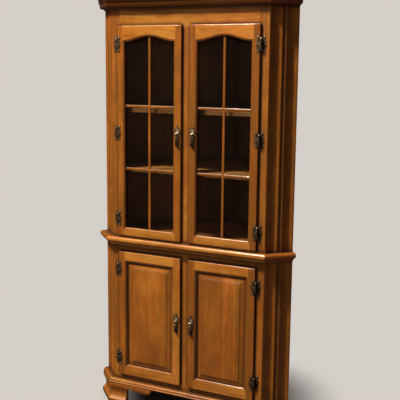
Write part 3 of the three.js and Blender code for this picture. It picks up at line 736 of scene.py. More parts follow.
class Workshop:
    """Finishes pieces and fixes them to the bodies that carry them."""

    case_wood = WoodFinish(**HONEY, roughness=0.36, shade=0.2)
    post_wood = WoodFinish(**HONEY, roughness=0.36, shade=-0.1)
    # painted shade: the crown is given a deeper colour and a darker tone for the shade it lies in
    crown_wood = WoodFinish(**{**HONEY, "deep": (0.17, 0.046, 0.006)}, shade=0.8)
    upper_woods = {
        Side.LEFT: WoodFinish(**HONEY, shade=0.22, across_lift=0.53),
        Side.RIGHT: WoodFinish(**HONEY, shade=0.5, across_lift=0.82),
    }
    lower_wood = WoodFinish(**HONEY, shade=0.4, across_lift=0.62)
    panel_wood = WoodFinish(**HONEY, shade=0.31, strip=62 * MM, wander=0.1)
    inside_wood = WoodFinish(
        pale=(0.25, 0.125, 0.05), middle=(0.187, 0.09, 0.035), deep=(0.131, 0.062, 0.023),
        glaze=(0.02, 0.008, 0.003), roughness=0.6, coat=0.0, strip=95 * MM,
    )
    shelf_wood = WoodFinish(
        pale=(0.56, 0.24, 0.06), middle=(0.4, 0.15, 0.035), deep=(0.26, 0.09, 0.018),
        glaze=(0.03, 0.01, 0.003), roughness=0.42, coat=0.3, strip=95 * MM,
    )
    brass = BrassFinish()
    glass = GlassFinish()

    def __init__(self, seed: int = 1776) -> None:
        """Starts the draws that give each piece its own part of the log."""
        self.draw = np.random.default_rng(seed)

    def fit(self, piece: Piece, body: str, slot: str, *nodes: str) -> None:
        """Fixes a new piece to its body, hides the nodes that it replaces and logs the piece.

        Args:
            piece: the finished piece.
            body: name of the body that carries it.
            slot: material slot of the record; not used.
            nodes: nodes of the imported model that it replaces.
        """
        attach(piece, body)
        if nodes:
            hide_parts(*nodes)
        log.info("%s on %s", piece.name, body)

    def wood(self, piece: Piece, finish: WoodFinish, grain: Grain) -> None:
        """Gives a piece a wood material of its own."""
        self.dress(piece, finish.material(f"{piece.name}_wood", grain, self.draw))

    def metal(self, piece: Piece) -> None:
        """Gives a piece an antique brass material of its own."""
        self.dress(piece, self.brass.material(f"{piece.name}_brass", self.draw))

    def pane(self, piece: Piece) -> None:
        """Gives a pane a glass material of its own."""
        self.dress(piece, self.glass.material(f"{piece.name}_clear", self.draw))

    def dress(self, piece: Piece, material: bpy.types.Material) -> None:
        """Puts one material on a whole piece."""
        piece.data.materials.clear()
        piece.data.materials.append(material)


@dataclass
class Carcass:
    """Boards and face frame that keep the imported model's shape, with their edges eased."""

    workshop: Workshop
    ease: float = 0.7 * MM
    stiles: tuple[str, ...] = ("left_stile", "right_stile")
    high_posts: tuple[str, ...] = ("upper_mullion",)
    low_posts: tuple[str, ...] = ("lower_mullion",)
    rails: tuple[str, ...] = ("frieze_rail", "waist_rail", "base_rail")
    shelves: tuple[str, ...] = ("high_shelf", "low_shelf", "middle_deck")
    boards: tuple[str, ...] = ("top_board", "bottom_board")
    backs: tuple[str, ...] = ("left_back", "right_back", "rear_foot")

    def soften(self, piece: Piece) -> None:
        """Eases the arrises by modifiers: loose triangles are welded, then bevelled.

        Args:
            piece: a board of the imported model.
        """
        weld = piece.modifiers.new("weld", "WELD")
        weld.merge_threshold = WELD
        bevel = piece.modifiers.new("ease", "BEVEL")
        bevel.width = self.ease
        bevel.segments = 2
        bevel.limit_method = "ANGLE"
        bevel.harden_normals = True

    def build(self) -> None:
        """Dresses every board and member."""
        shop = self.workshop
        groups = [
            (self.stiles, shop.case_wood, Grain.UPRIGHT),
            (self.high_posts, shop.post_wood, Grain.UPRIGHT),
            (self.low_posts, shop.case_wood, Grain.UPRIGHT),
            (self.rails, shop.case_wood, Grain.ACROSS),
            (self.shelves, shop.shelf_wood, Grain.ACROSS),
            (self.boards, shop.inside_wood, Grain.ACROSS),
            (self.backs, shop.inside_wood, Grain.UPRIGHT),
        ]
        for names, finish, grain in groups:
            for name in names:
                node = frame["nodes"][name]
                shop.wood(node, finish, grain)
                self.soften(node)
                log.info("%s dressed", name)


@dataclass
class CasePlan:
    """Outline of the case's front in plan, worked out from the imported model."""

    cant_turn: float = math.radians(45)
    thickness: float = 20 * MM  # of a canted side

    def __post_init__(self) -> None:
        """Reads the front corner and the wall end of a canted side from the pilaster's box."""
        low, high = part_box("right_pilaster")
        deep = self.thickness * math.sin(self.cant_turn)
        self.wall = np.array([high.x, high.y - deep])
        run = self.wall[1] - low.y
        self.corner = np.array([high.x - run / math.tan(self.cant_turn), low.y])
        self.run = float(np.linalg.norm(self.wall - self.corner))

    def stations(self, out: np.ndarray) -> np.ndarray:
        """Plan places of right wall, right corner, left corner and left wall, set out from the faces.

        Formula: base + out * direction, where a corner's direction is its mitre, (tan of half the turn, -1).

        Args:
            out: distances from the faces.

        Returns:
            Array of four stations, distances, and x and y.
        """
        mitre = math.tan(self.cant_turn / 2)
        slope = np.array([math.sin(self.cant_turn), -math.cos(self.cant_turn)])
        flip = np.array([-1, 1])
        base = np.array([self.wall, self.corner, self.corner * flip, self.wall * flip])
        way = np.array([slope, [mitre, -1], [-mitre, -1], slope * flip])
        return base[:, None, :] + out[None, :, None] * way[:, None, :]


@dataclass
class Moulding:
    """Moulding in three lengths, mitred at the two front corners."""

    workshop: Workshop
    plan: CasePlan
    finish: WoodFinish
    node: str
    projection: float
    start_share: tuple[float, float]
    step_shares: tuple[tuple[Bend, float, float], ...]
    back: float = 0.3 * MM
    steps: int = 10
    lengths: tuple[tuple[str, int, Grain], ...] = (
        ("right", 0, Grain.RIGHT_CANT), ("front", 1, Grain.ACROSS), ("left", 2, Grain.LEFT_CANT),
    )

    def section(self) -> np.ndarray:
        """Outline of the section in distance out and height.

        Formula: shares times projection and height, corner to corner by lines and quarter ellipses.

        Returns:
            Points in rows.
        """
        low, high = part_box(self.node)
        corners = [np.array([self.start_share])]
        for bend, out, up in self.step_shares:
            corners.append(quarter(corners[-1][-1], (out, up), bend, self.steps))
        shares = np.concatenate(corners)
        face = shares * np.array([self.projection, high.z - low.z]) + np.array([0, low.z])
        return np.concatenate([[[self.back, low.z]], face, [[self.back, high.z]]])

    def build(self) -> None:
        """Makes the three lengths."""
        section = self.section()
        plan = self.plan.stations(section[:, 0])
        height = np.broadcast_to(section[:, 1], plan.shape[:2])
        stations = np.concatenate([plan, height[..., None]], axis=-1)
        for word, first, grain in self.lengths:
            ends = stations[first:first + 2]
            way = ends[1] - ends[0]
            way /= np.linalg.norm(way, axis=1, keepdims=True)
            ends = ends + np.stack([way, -way]) * FINISH_GAP
            piece = Shell().loft(ends).build(f"{self.node}_{word}")
            self.workshop.wood(piece, self.finish, grain)
            self.workshop.fit(piece, "case", "case_wood", self.node)


@dataclass
class Pilaster:
    """Canted side with three upright flutes."""

    workshop: Workshop
    plan: CasePlan
    side: Side
    margin: float = 8 * MM
    fillet: float = 4 * MM
    narrow: float = 17 * MM
    wide_depth: float = 9 * MM
    narrow_depth: float = 5 * MM
    steps: int = 18

    def face(self) -> np.ndarray:
        """Distance along the canted side and depth into it.

        Formula: each flute is depth * sin(pi t) across its width.

        Returns:
            Points in rows, from the front corner to the wall.
        """
        wide = (self.plan.run - 2 * self.margin - 2 * self.fillet - self.narrow) / 2
        flutes = [
            (self.margin, wide, self.wide_depth),
            (self.margin + wide + self.fillet, self.narrow, self.narrow_depth),
            (self.plan.run - self.margin - wide, wide, self.wide_depth),
        ]
        t = np.linspace(0, 1, self.steps + 1)
        hollow = np.sin(math.pi * t)
        hollows = [np.stack([start + width * t, deep * hollow], axis=1) for start, width, deep in flutes]
        return np.concatenate([[[0, 0]], *hollows, [[self.plan.run, 0]]])

    def build(self) -> None:
        """Makes the board between the heights of its node."""
        node = f"{self.side.word}_pilaster"
        low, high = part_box(node)
        thick = self.plan.thickness
        rear = [[self.plan.run, thick], [thick * math.tan(self.plan.cant_turn / 2), thick]]
        along, deep = np.concatenate([self.face(), rear]).T
        cos, sin = math.cos(self.plan.cant_turn), math.sin(self.plan.cant_turn)
        corner = self.plan.corner
        x = self.side.value * (corner[0] + along * cos - deep * sin)
        flat = np.stack([x, corner[1] + along * sin + deep * cos], axis=1)
        piece = Shell().bar(flat, (low.z, high.z), 2).build(node + "_board")
        self.workshop.wood(piece, self.workshop.case_wood, Grain.UPRIGHT)
        self.workshop.fit(piece, "case", "case_wood", node)


@dataclass
class BracketFoot:
    """Ogee bracket foot: a scroll-cut front wing and a plain canted side, mitred at the corner."""

    workshop: Workshop
    plan: CasePlan
    side: Side
    projection: float = 30 * MM
    rear: float = -6 * MM
    wing: float = 214 * MM
    leg: float = 76 * MM
    scoop_top: float = 81 * MM
    scoop_width: float = 25 * MM
    cusp: float = 69 * MM
    cusp_width: float = 12 * MM
    lap: float = 0.5 * MM  # how far the wing runs into the leg
    lobe: float = 65 * MM
    lobe_width: float = 62 * MM
    toe_share: float = 0.18
    ogee_shares: tuple[tuple[float, float], ...] = (
        (0.93, 0.21), (0.7, 0.25), (0.51, 0.32), (0.43, 0.42), (0.47, 0.53), (0.6, 0.65), (0.76, 0.76),
        (0.85, 0.87), (0.86, 0.95), (0.82, 1.0),
    )
    ogee_steps: int = 6
    scroll_steps: int = 12
    rows: int = 40

    def face(self, height: float) -> tuple[np.ndarray, np.ndarray]:
        """Front of the foot: a plain toe, then an ogee through its shares.

        Args:
            height: height of the foot.

        Returns:
            Heights, and the distance out at each.
        """
        ogee = smooth_curve(np.array(self.ogee_shares), self.ogee_steps)
        shares = np.concatenate([[[1.0, 0.0], [1.0, self.toe_share]], ogee])
        return shares[:, 1] * height, shares[:, 0] * self.projection

    def scroll(self, height: float) -> np.ndarray:
        """Lower edge of the wing as distance from the corner and height, from the tip to the leg.

        Formula: quadratic curves p (1 - t)^2 + 2 c t (1 - t) + q t^2 from point to point.

        Args:
            height: height of the foot.

        Returns:
            Points in rows.
        """
        scoop = self.leg + self.scoop_width
        cusp = scoop + self.cusp_width
        lobe = cusp + self.lobe_width
        curves = np.array([
            ((self.wing, height), (self.wing, self.lobe), (lobe, self.lobe)),
            ((lobe, self.lobe), ((cusp + lobe) / 2, self.cusp), (cusp, self.cusp)),
            ((cusp, self.cusp), (cusp, self.scoop_top), (scoop, self.scoop_top)),
            ((scoop, self.scoop_top), (self.leg, self.scoop_top), (self.leg, height / 2)),
        ])
        t = np.linspace(0, 1, self.scroll_steps + 1)[:, None]
        lines = [p * (1 - t) ** 2 + 2 * c * t * (1 - t) + q * t**2 for p, c, q in curves]
        return np.concatenate([*lines, [[self.leg - self.lap, height / 2]]])

    def rings(self, low: np.ndarray, height: float) -> tuple[np.ndarray, np.ndarray]:
        """Closed sections in distance out and height, each from its own lowest point to the top.

        Args:
            low: lowest height of each section.
            height: height of the foot.

        Returns:
            Distances out and heights, one row for each section.
        """
        share = np.concatenate([np.linspace(0, 1, self.rows), [1.0, 0.0]])
        levels = low[:, None] + (height - low[:, None]) * share
        out = np.interp(levels, *self.face(height))
        out[:, -2:] = self.rear
        return out, levels

    def build(self) -> None:
        """Makes the wing and the canted side."""
        node = f"{self.side.word}_foot"
        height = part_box(node)[1].z
        edge = self.scroll(height)
        corner = self.plan.corner
        out, levels = self.rings(edge[:, 1], height)
        out[-1, :-2] -= self.lap
        wing = np.stack(np.broadcast_arrays(corner[0] - edge[:, :1], corner[1] - out, levels), axis=-1)
        full, heights = self.rings(np.zeros(1), height)
        leg = np.stack(np.broadcast_arrays(corner[0] - self.leg, corner[1] - full, heights), axis=-1)
        ends = self.plan.stations(full[0])[:2]
        wall, mitre = (np.concatenate([end, heights.T], axis=-1) for end in ends)
        gap = np.array([FINISH_GAP, 0, 0])
        members = (
            ("wing", Grain.ACROSS, [wing - gap, np.concatenate([leg, mitre[None]]) - gap]),
            ("cant", Grain[f"{self.side.name}_CANT"], [np.stack([mitre, wall])]),
        )
        for word, grain, lofts in members:
            shell = Shell()
            for rings in lofts:
                shell.loft(rings * np.array([self.side.value, 1, 1]))
            piece = shell.build(f"{node}_{word}")
            self.workshop.wood(piece, self.workshop.case_wood, grain)
            self.workshop.fit(piece, "case", "case_wood", node)


@dataclass(frozen=True)
class Opening:
    """One of the four openings, with the names of what belongs to it."""

    stage: str
    side: Side

    def name(self, part: str) -> str:
        """Full name of one of its nodes, bodies or joints."""
        return f"{self.stage}_{self.side.word}_{part}"

    def joint(self, part: str) -> np.ndarray:
        """Place of one of its joints."""
        return np.array(next(j for j in frame["joints"] if j["name"] == self.name(part))["pos_m"])


@dataclass
class DoorFrame:
    """Lipped door frame: two full-height stiles and two rails, with sticking mitred at its corners."""

    workshop: Workshop
    finish: WoodFinish
    opening: Opening
    stile: float
    rail: float
    joint: float  # how far behind the opening's edge a rail ends
    sticking: tuple[tuple[float, float], ...]  # behind the opening's edge, and depth, after the ovolo
    top_rail: float
    arch: float = 0.0
    proud: float = 12 * MM
    body_depth: float = 10 * MM
    lip_back: float = -0.5 * MM
    body_inset: float = 10 * MM
    round_across: float = 4 * MM
    round_deep: float = 4 * MM
    round_power: float = 1.5  # crowds the sections of a stile towards its ends
    quirk_share: float = 0.93  # of the joint: where the sticking starts
    quirk_deep: float = 0.9 * MM
    glaze_left: float = 0.65  # painted shade on the sticking of the left-hand stile and the top rail, which face away from the light
    glaze_thin: float = 0.3  # painted shade on the right-hand stile's sticking, which faces the light
    glaze_rubbed: float = 0.1  # painted shade on the sticking that faces up, towards the light
    right_lift: float = 0.0  # how much paler the right-hand stile is
    arc_steps: int = 6
    rail_rows: int = 61

    def __post_init__(self) -> None:
        """Reads the door's place and size from its node."""
        self.body = self.opening.name("door")
        self.node = self.opening.name("door_frame")
        low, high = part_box(self.node)
        self.left, self.bottom = low.x, low.z
        self.width, self.height = high.x - low.x, high.z - low.z
        self.half = self.width / 2 - self.stile
        self.low_edge = self.rail
        self.high_edge = self.height - self.top_rail - self.arch

    def outer(self) -> np.ndarray:
        """Outline from the door's rear, round its lip to the face: distance from the edge, and depth.

        Formula: the lip's front corner is a quarter ellipse.

        Returns:
            Points in rows.
        """
        start = (0.0, self.round_deep - self.proud)
        arc = quarter(start, (self.round_across, -self.proud), Bend.STEEP, self.arc_steps)
        rear = [(self.body_inset, self.body_depth), (self.body_inset, self.lip_back), (0.0, self.lip_back)]
        return np.concatenate([rear, [start], arc])

    def inner(self) -> np.ndarray:
        """Outline from the face over the sticking to the rear.

        Formula: the sticking starts with a slanted quirk and goes on as a quarter ellipse.

        Returns:
            Distance behind the opening's edge, and depth, in rows.
        """
        start = self.joint * self.quirk_share
        quirk = (start - self.quirk_deep / 2, self.quirk_deep - self.proud)
        ovolo = quarter(quirk, self.sticking[0], Bend.LEVEL, self.arc_steps)
        face = [(self.joint, -self.proud), (start, -self.proud), quirk]
        return np.concatenate([face, ovolo, self.sticking[1:], [(self.joint, self.body_depth)]])

    def set_out(self, across: np.ndarray, depth: np.ndarray, height: np.ndarray) -> np.ndarray:
        """Joins door places, from its left bottom corner, into places of the model."""
        parts = np.broadcast_arrays(across + self.left, depth + FRONT, height + self.bottom)
        return np.stack(parts, axis=-1)

    def stile_rings(self) -> np.ndarray:
        """Level sections of a stile, from the door's bottom to its top, as if it were on the left.

        Formula: near an end the front follows the lip's quarter ellipse and the rear stops at the lip, and
        the sticking reaches as far past the joint as the section is past the mitre's start.

        Returns:
            Array of sections, points, and across, depth, height.
        """
        outer, inner = self.outer(), self.inner()
        across = np.concatenate([outer[:, 0], self.stile - inner[:, 0]])
        depth = np.concatenate([outer[:, 1], inner[:, 1]])
        curve = np.linspace(0, 1, self.arc_steps + 1) ** self.round_power * self.round_across
        lip = np.concatenate([curve, [self.body_inset, self.body_inset]])
        mitre = np.linspace(-self.joint, self.joint, 2 * self.arc_steps + 1)
        low = np.concatenate([lip, self.low_edge + mitre])
        high = np.concatenate([self.high_edge + mitre, self.height - lip[::-1]])
        rows = np.concatenate([low, high])
        full = np.ones(len(rows), bool)
        full[:self.arc_steps + 2] = False
        full[-(self.arc_steps + 2):] = False
        end = np.minimum(rows, self.height - rows)
        bare = 1 - np.minimum(end / self.round_across, 1)
        front = self.round_deep * (1 - np.sqrt(1 - bare**2)) - self.proud
        rear = np.where(full, self.body_depth, self.lip_back)
        depth = np.clip(depth[None, :], front[:, None], rear[:, None])
        past = np.minimum(rows - (self.low_edge - self.joint), self.high_edge + self.joint - rows)
        reach = self.stile - self.joint + np.maximum(past, 0)
        across = np.minimum(across[None, :], reach[:, None])
        arc = slice(len(outer) - self.arc_steps, len(outer))
        rise = np.clip((self.round_deep - self.proud - depth[:, arc]) / self.round_deep, 0, 1)
        across[:, arc] = self.round_across * (1 - np.sqrt(1 - rise**2))
        return self.set_out(across, depth, rows[:, None])

    def rail_rings(self, top: bool) -> np.ndarray:
        """Upright sections of a rail from its left end to its right end.

        Formula: across is u times the half width grown by the point's distance behind the opening's edge,
        up to the joint. The top rail's edge is the spring line + arch (1 + cos pi u) / 2.

        Args:
            top: whether it is the top rail.

        Returns:
            Array of sections, points, and across, depth, height.
        """
        outer, inner = self.outer(), self.inner()
        behind = np.concatenate([np.full(len(outer), self.joint), np.minimum(inner[:, 0], self.joint)])
        u = np.linspace(-1, 1, self.rail_rows)[:, None]
        across = self.width / 2 + u * (self.half + behind - FINISH_GAP)
        if top:
            edge = self.high_edge + self.arch * (1 + np.cos(math.pi * u)) / 2
            outside, inside = self.height - outer[:, 0], edge + inner[:, 0]
        else:
            outside, inside = outer[:, 0], self.low_edge - inner[:, 0]
        lines = [np.broadcast_to(line, (len(u), line.shape[-1])) for line in (outside, inside)]
        depth = np.concatenate([outer[:, 1], inner[:, 1]])
        return self.set_out(across, depth, np.concatenate(lines, axis=1))

    def build(self) -> None:
        """Makes the four members."""
        stile = self.stile_rings()
        middle = self.left + self.width / 2
        flip = stile * np.array([-1, 1, 1]) + np.array([2 * middle, 0, 0])
        # the fourth value is the painted shade on each member's sticking, darker where it faces away from the
        # light
        members = [
            ("left_stile", stile, Grain.UPRIGHT, self.glaze_left, 0.0),
            ("right_stile", flip, Grain.UPRIGHT, self.glaze_thin, self.right_lift),
            ("bottom_rail", self.rail_rings(False), Grain.ACROSS, self.glaze_rubbed, 0.0),
            ("top_rail", self.rail_rings(True), Grain.ACROSS, self.glaze_left, 0.0),
        ]
        stuck = np.arange(stile.shape[1]) >= len(self.outer()) + 2
        for word, rings, grain, glaze, lift in members:
            piece = Shell().loft(rings, glaze=stuck * glaze).build(f"{self.body}_{word}")
            self.workshop.wood(piece, replace(self.finish, shade=self.finish.shade - lift), grain)
            self.workshop.fit(piece, self.body, "door_wood", self.node)


@dataclass
class GlazingBars:
    """One upright and two cross bars with rounded edges, which cross at one level."""

    workshop: Workshop
    door: DoorFrame
    width: float = 13 * MM
    flat: float = 4.4 * MM
    front: float = -5 * MM
    edge: float = 1.3 * MM
    sunk: float = 1.5 * MM  # how far the ends go into the sticking
    high_rise: float = 600 * MM
    low_rise: float = 315.5 * MM
    back: float = -0.3 * MM
    steps: int = 6

    def section(self) -> np.ndarray:
        """Half-round edged section in distance across the bar and depth.

        Formula: a quarter ellipse on each side of a flat face.

        Returns:
            Points in rows.
        """
        start = (self.width / 2, self.back - self.edge)
        side = quarter(start, (self.flat / 2, self.front), Bend.STEEP, self.steps)
        right = np.concatenate([[(self.width / 2, self.back), start], side])
        return np.concatenate([right, (right * np.array([-1, 1]))[::-1]])

    def build(self) -> None:
        """Makes the grid of bars, and dresses the glass behind it."""
        door = self.door
        section = self.section()
        stick = -door.sticking[0][0]
        middle = door.width / 2
        reach = door.half - stick + self.sunk
        ends = np.array([middle - reach, middle + reach])[:, None]
        low = door.low_edge + stick - self.sunk
        high = door.high_edge + door.arch - stick + self.sunk
        shell = Shell()
        shell.loft(door.set_out(middle + section[:, 0], section[:, 1], np.array([low, high])[:, None]))
        for rise in (self.high_rise, self.low_rise):
            shell.loft(door.set_out(ends, section[:, 1], rise + section[:, 0]))
        node = door.opening.name("glazing_bars")
        piece = shell.build(node + "_moulded")
        self.workshop.wood(piece, door.finish, Grain.UPRIGHT)
        self.workshop.fit(piece, door.body, "door_wood", node)
        glass = frame["nodes"][door.opening.name("glass")]
        self.workshop.pane(glass)
        log.info("%s dressed", glass.name)


@dataclass
class RaisedPanel:
    """Raised panel: a tongue in the frame's groove, a hollow bevel, a shoulder and a flat field."""

    workshop: Workshop
    door: DoorFrame
    tongue: float = 6 * MM  # behind the opening's edge
    rear: float = 0.7 * MM
    tongue_face: float = -3.5 * MM
    bevel_start: float = 7.5 * MM
    bevel_end: float = 29.0 * MM
    bevel_drop: float = 6.2 * MM
    bevel_power: float = 1.5
    shoulder: float = 1.2 * MM
    shoulder_width: float = 1.2 * MM
    shoulder_steps: int = 5
    glaze_run: float = 4 * MM  # over which the painted shade in the recess fades
    glaze_foot: float = 0.8  # share of painted shade along the shoulder's foot
    steps: int = 10
    sharp: float = math.radians(20)

    def build(self) -> None:
        """Makes the panel from nested oblongs.

        Formula: along the bevel the face rises as a power of the way to the field.
        """
        door = self.door
        t = np.linspace(0, 1, self.steps + 1)
        bevel = np.stack([
            self.bevel_start + (self.bevel_end - self.bevel_start) * t,
            self.tongue_face - self.bevel_drop * t**self.bevel_power,
        ], axis=1)
        field_edge = (self.bevel_end + self.shoulder_width, bevel[-1, 1] - self.shoulder)
        rounded = quarter(bevel[-1], field_edge, Bend.STEEP, self.shoulder_steps)
        tongue = [(-self.tongue, self.rear), (-self.tongue, self.tongue_face)]
        section = np.concatenate([tongue, bevel, rounded])
        shift, depth = section[:, :1], section[:, 1:]
        across = door.width / 2 + (door.half - shift) * np.array([-1, 1, 1, -1])
        low, high = door.low_edge + shift, door.high_edge - shift
        height = np.concatenate([low, low, high, high], axis=1)
        # painted shade in the recess beside the tongue, and along the shoulder's foot
        glaze = np.clip(1 - (shift - self.bevel_start) / self.glaze_run, 0, 1) * door.glaze_left
        glaze[len(tongue) + len(bevel) - 1] = self.glaze_foot
        node = door.opening.name("panel")
        shell = Shell().loft(door.set_out(across, depth, height), glaze=glaze)
        piece = shell.build(node + "_raised", self.sharp)
        self.workshop.wood(piece, self.workshop.panel_wood, Grain.UPRIGHT)
        self.workshop.fit(piece, door.body, "door_wood", node)


@dataclass(frozen=True)
class ScrewHead:
    """Domed screw head with a slot."""

    radius: float = 2.1 * MM
    dome: float = 0.9 * MM
    slot: float = 0.5 * MM
    slot_depth: float = 0.5 * MM
    sunk: float = 0.4 * MM
    chord_shares: tuple[float, ...] = (1.0, 0.93, 0.75, 0.45)  # how far out the chords lie
    rows: int = 11

    def add(self, shell: Shell, x: float, face: float, z: float, turn: float) -> None:
        """Adds a head to a shell.

        Formula: over chords of a circle the height is dome * sqrt(1 - r^2), less the slot in the middle.

        Args:
            shell: what it joins.
            x: place across.
            face: y of the surface that it stands on.
            z: height.
            turn: the slot's angle.
        """
        lip = self.slot / 2 / self.radius
        half = np.array([*self.chord_shares, lip, lip])
        wide = np.concatenate([-half, half[::-1]])[:, None]
        floor = np.zeros(wide.shape)
        floor[len(half) - 1:len(half) + 1] = self.slot_depth
        tall = np.linspace(-1, 1, self.rows) * np.sqrt(1 - wide**2)
        height = self.dome * np.sqrt(np.maximum(1 - wide**2 - tall**2, 0)) - floor
        across = np.broadcast_to(wide, tall.shape)
        front = np.stack([across, height, tall], axis=-1)
        rear = np.stack([across, np.full(tall.shape, -self.sunk), tall], axis=-1)[:, ::-1]
        across, height, tall = np.moveaxis(np.concatenate([front, rear], axis=1), -1, 0)
        cos, sin = math.cos(turn), math.sin(turn)
        shell.loft(np.stack([
            x + self.radius * (across * cos - tall * sin),
            face - height,
            z + self.radius * (across * sin + tall * cos),
        ], axis=-1))


@dataclass
class SurfaceHinge:
    """Ornamental surface hinge: a cranked leaf on the stile, a flat one on the door, and a barrel."""

    workshop: Workshop
    opening: Opening
    level: str
    knuckle: float = 3.5 * MM
    length: float = 15 * MM  # of one knuckle
    line: float = 0.3 * MM  # open between two knuckles
    pin: float = 1.6 * MM
    pin_sides: int = 16
    finial: float = 5 * MM
    finial_share: float = 0.8  # its width, of the barrel's
    leaf: float = 1.6 * MM
    width: float = 17 * MM
    height: float = 68 * MM
    play: float = 0.5 * MM
    gap: float = 0.3 * MM  # behind the fixed leaf, and the ease of a knuckle's ends
    ease: float = 0.6 * MM
    screw: ScrewHead = ScrewHead()
    leaf_shares: tuple[tuple[float, float], ...] = (
        (0.16, 0.66), (0.22, 0.78), (0.2, 0.9), (0.42, 1.0), (0.7, 0.97), (0.86, 0.84),
        (0.78, 0.68), (0.58, 0.58), (0.66, 0.44), (0.92, 0.32), (1.0, 0.16), (0.86, 0.0),
    )
    root_share: float = 0.04  # how far the straight edge ends below the first of them
    leaf_steps: int = 5
    screw_shares: tuple[tuple[float, float], ...] = ((0.52, 0.83), (0.52, 0.0), (0.52, -0.83))
    finial_shares: tuple[tuple[float, float], ...] = (
        (0.0, 1.0), (0.3, 0.97), (0.45, 0.8), (0.36, 0.6), (0.26, 0.48), (0.45, 0.34), (0.8, 0.2), (1.0, 0.0),
    )

    def __post_init__(self) -> None:
        """Takes the axis from the joint and the height from the node."""
        self.name = self.opening.name(f"{self.level}_hinge")
        low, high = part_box(f"{self.name}_frame_leaf")
        axis = self.opening.joint("door_hinge")
        self.place = np.array([abs(axis[0]), axis[1], (low.z + high.z) / 2])

    def outline(self, start: float) -> np.ndarray:
        """Leaf's outline in x and z, its straight edge start from the axis.

        Formula: a smooth curve through the upper shares and their mirror image below, closed by the edge.

        Args:
            start: distance of the straight edge from the axis.

        Returns:
            Points in rows, counterclockwise.
        """
        upper = np.array(self.leaf_shares)
        lower = (upper[:-1] * np.array([1, -1]))[::-1]
        curve = smooth_curve(np.concatenate([upper, lower]), self.leaf_steps)
        ends = np.array([[0, upper[0, 1] - self.root_share]])
        shares = np.concatenate([ends, curve, ends * np.array([1, -1])])[::-1]
        return shares * np.array([self.width, self.height / 2]) + np.array([start, 0])

    def plate(self, start: float, face: float, way: int, turns: np.ndarray) -> Shell:
        """Starts one leaf with its flat part and its screws, about the axis of a right-hand hinge.

        Args:
            start: distance of the straight edge from the axis.
            face: y of its front.
            way: 1 towards the stile, -1 towards the door.
            turns: angles of the screws' slots.

        Returns:
            The shell that holds them.
        """
        outline = (self.outline(start) * np.array([way, 1]))[::way]
        shell = Shell().plate(outline, face + self.leaf, face, self.ease)
        for (across, up), turn in zip(self.screw_shares, turns):
            self.screw.add(shell, way * (start + across * self.width), face, up * self.height / 2, turn)
        return shell

    def add_knuckle(self, shell: Shell, low: float) -> None:
        """Adds a knuckle with eased ends.

        Args:
            shell: what it joins.
            low: its lower end.
        """
        full, high = self.knuckle, low + self.length
        profile = [
            (0, low), (full - self.gap, low), (full, low + self.gap),
            (full, high - self.gap), (full - self.gap, high), (0, high),
        ]
        shell.lathe(np.array(profile), Vector(), 2)

    def fasten(self, shell: Shell, word: str, body: str, node: str) -> None:
        """Builds one leaf, moves it to its place and fixes it.

        Args:
            shell: its surfaces, about the axis of a right-hand hinge.
            word: end of its name.
            body: what it is screwed to.
            node: end of the name of the node that it replaces.
        """
        flip = np.array([self.opening.side.value, 1, 1])
        shell.points = [(points + self.place) * flip for points in shell.points]
        piece = shell.build(f"{self.name}_{word}")
        self.workshop.metal(piece)
        self.workshop.fit(piece, body, "antique_brass", f"{self.name}_{node}")

    def build(self) -> None:
        """Makes the fixed leaf with two knuckles, finials and the pin, and the swinging leaf with one."""
        turns = self.workshop.draw.uniform(0, math.pi, 2 * len(self.screw_shares))
        start = self.knuckle - self.leaf
        face = FRONT - self.place[1] - self.gap - self.leaf
        pitch = self.length + self.line
        top = pitch + self.length / 2
        fixed = self.plate(start, face, 1, turns)
        finial = np.array(self.finial_shares) * np.array([self.knuckle * self.finial_share, self.finial])
        middle = face + self.leaf / 2
        strap = np.array([(start, 0.0), (self.knuckle, 0.0), (self.knuckle, middle), (start, middle)])
        for end in (-1, 1):
            low = end * pitch - self.length / 2
            self.add_knuckle(fixed, low)
            fixed.lathe(np.stack([finial[:, 0], end * (top + finial[:, 1])], axis=1), Vector(), 2)
            fixed.bar(strap, (low, low + self.length), 2)
        pin = np.array([(0, -top), (self.pin, -top), (self.pin, top), (0, top)])
        fixed.lathe(pin, Vector(), 2, self.pin_sides)
        self.fasten(fixed, "fixed", "case", "frame_leaf")
        clear = self.knuckle + self.play
        moving = self.plate(clear, -self.leaf / 2, -1, turns[len(self.screw_shares):])
        end, half = -clear - self.play, self.leaf / 2
        tongue = np.array([(end, -half), (0, -half), (0, half), (end, half)])
        moving.bar(tongue, (-self.length / 2, self.length / 2), 2)
        self.add_knuckle(moving, -self.length / 2)
        self.fasten(moving, "swinging", self.opening.name("door"), "door_leaf")


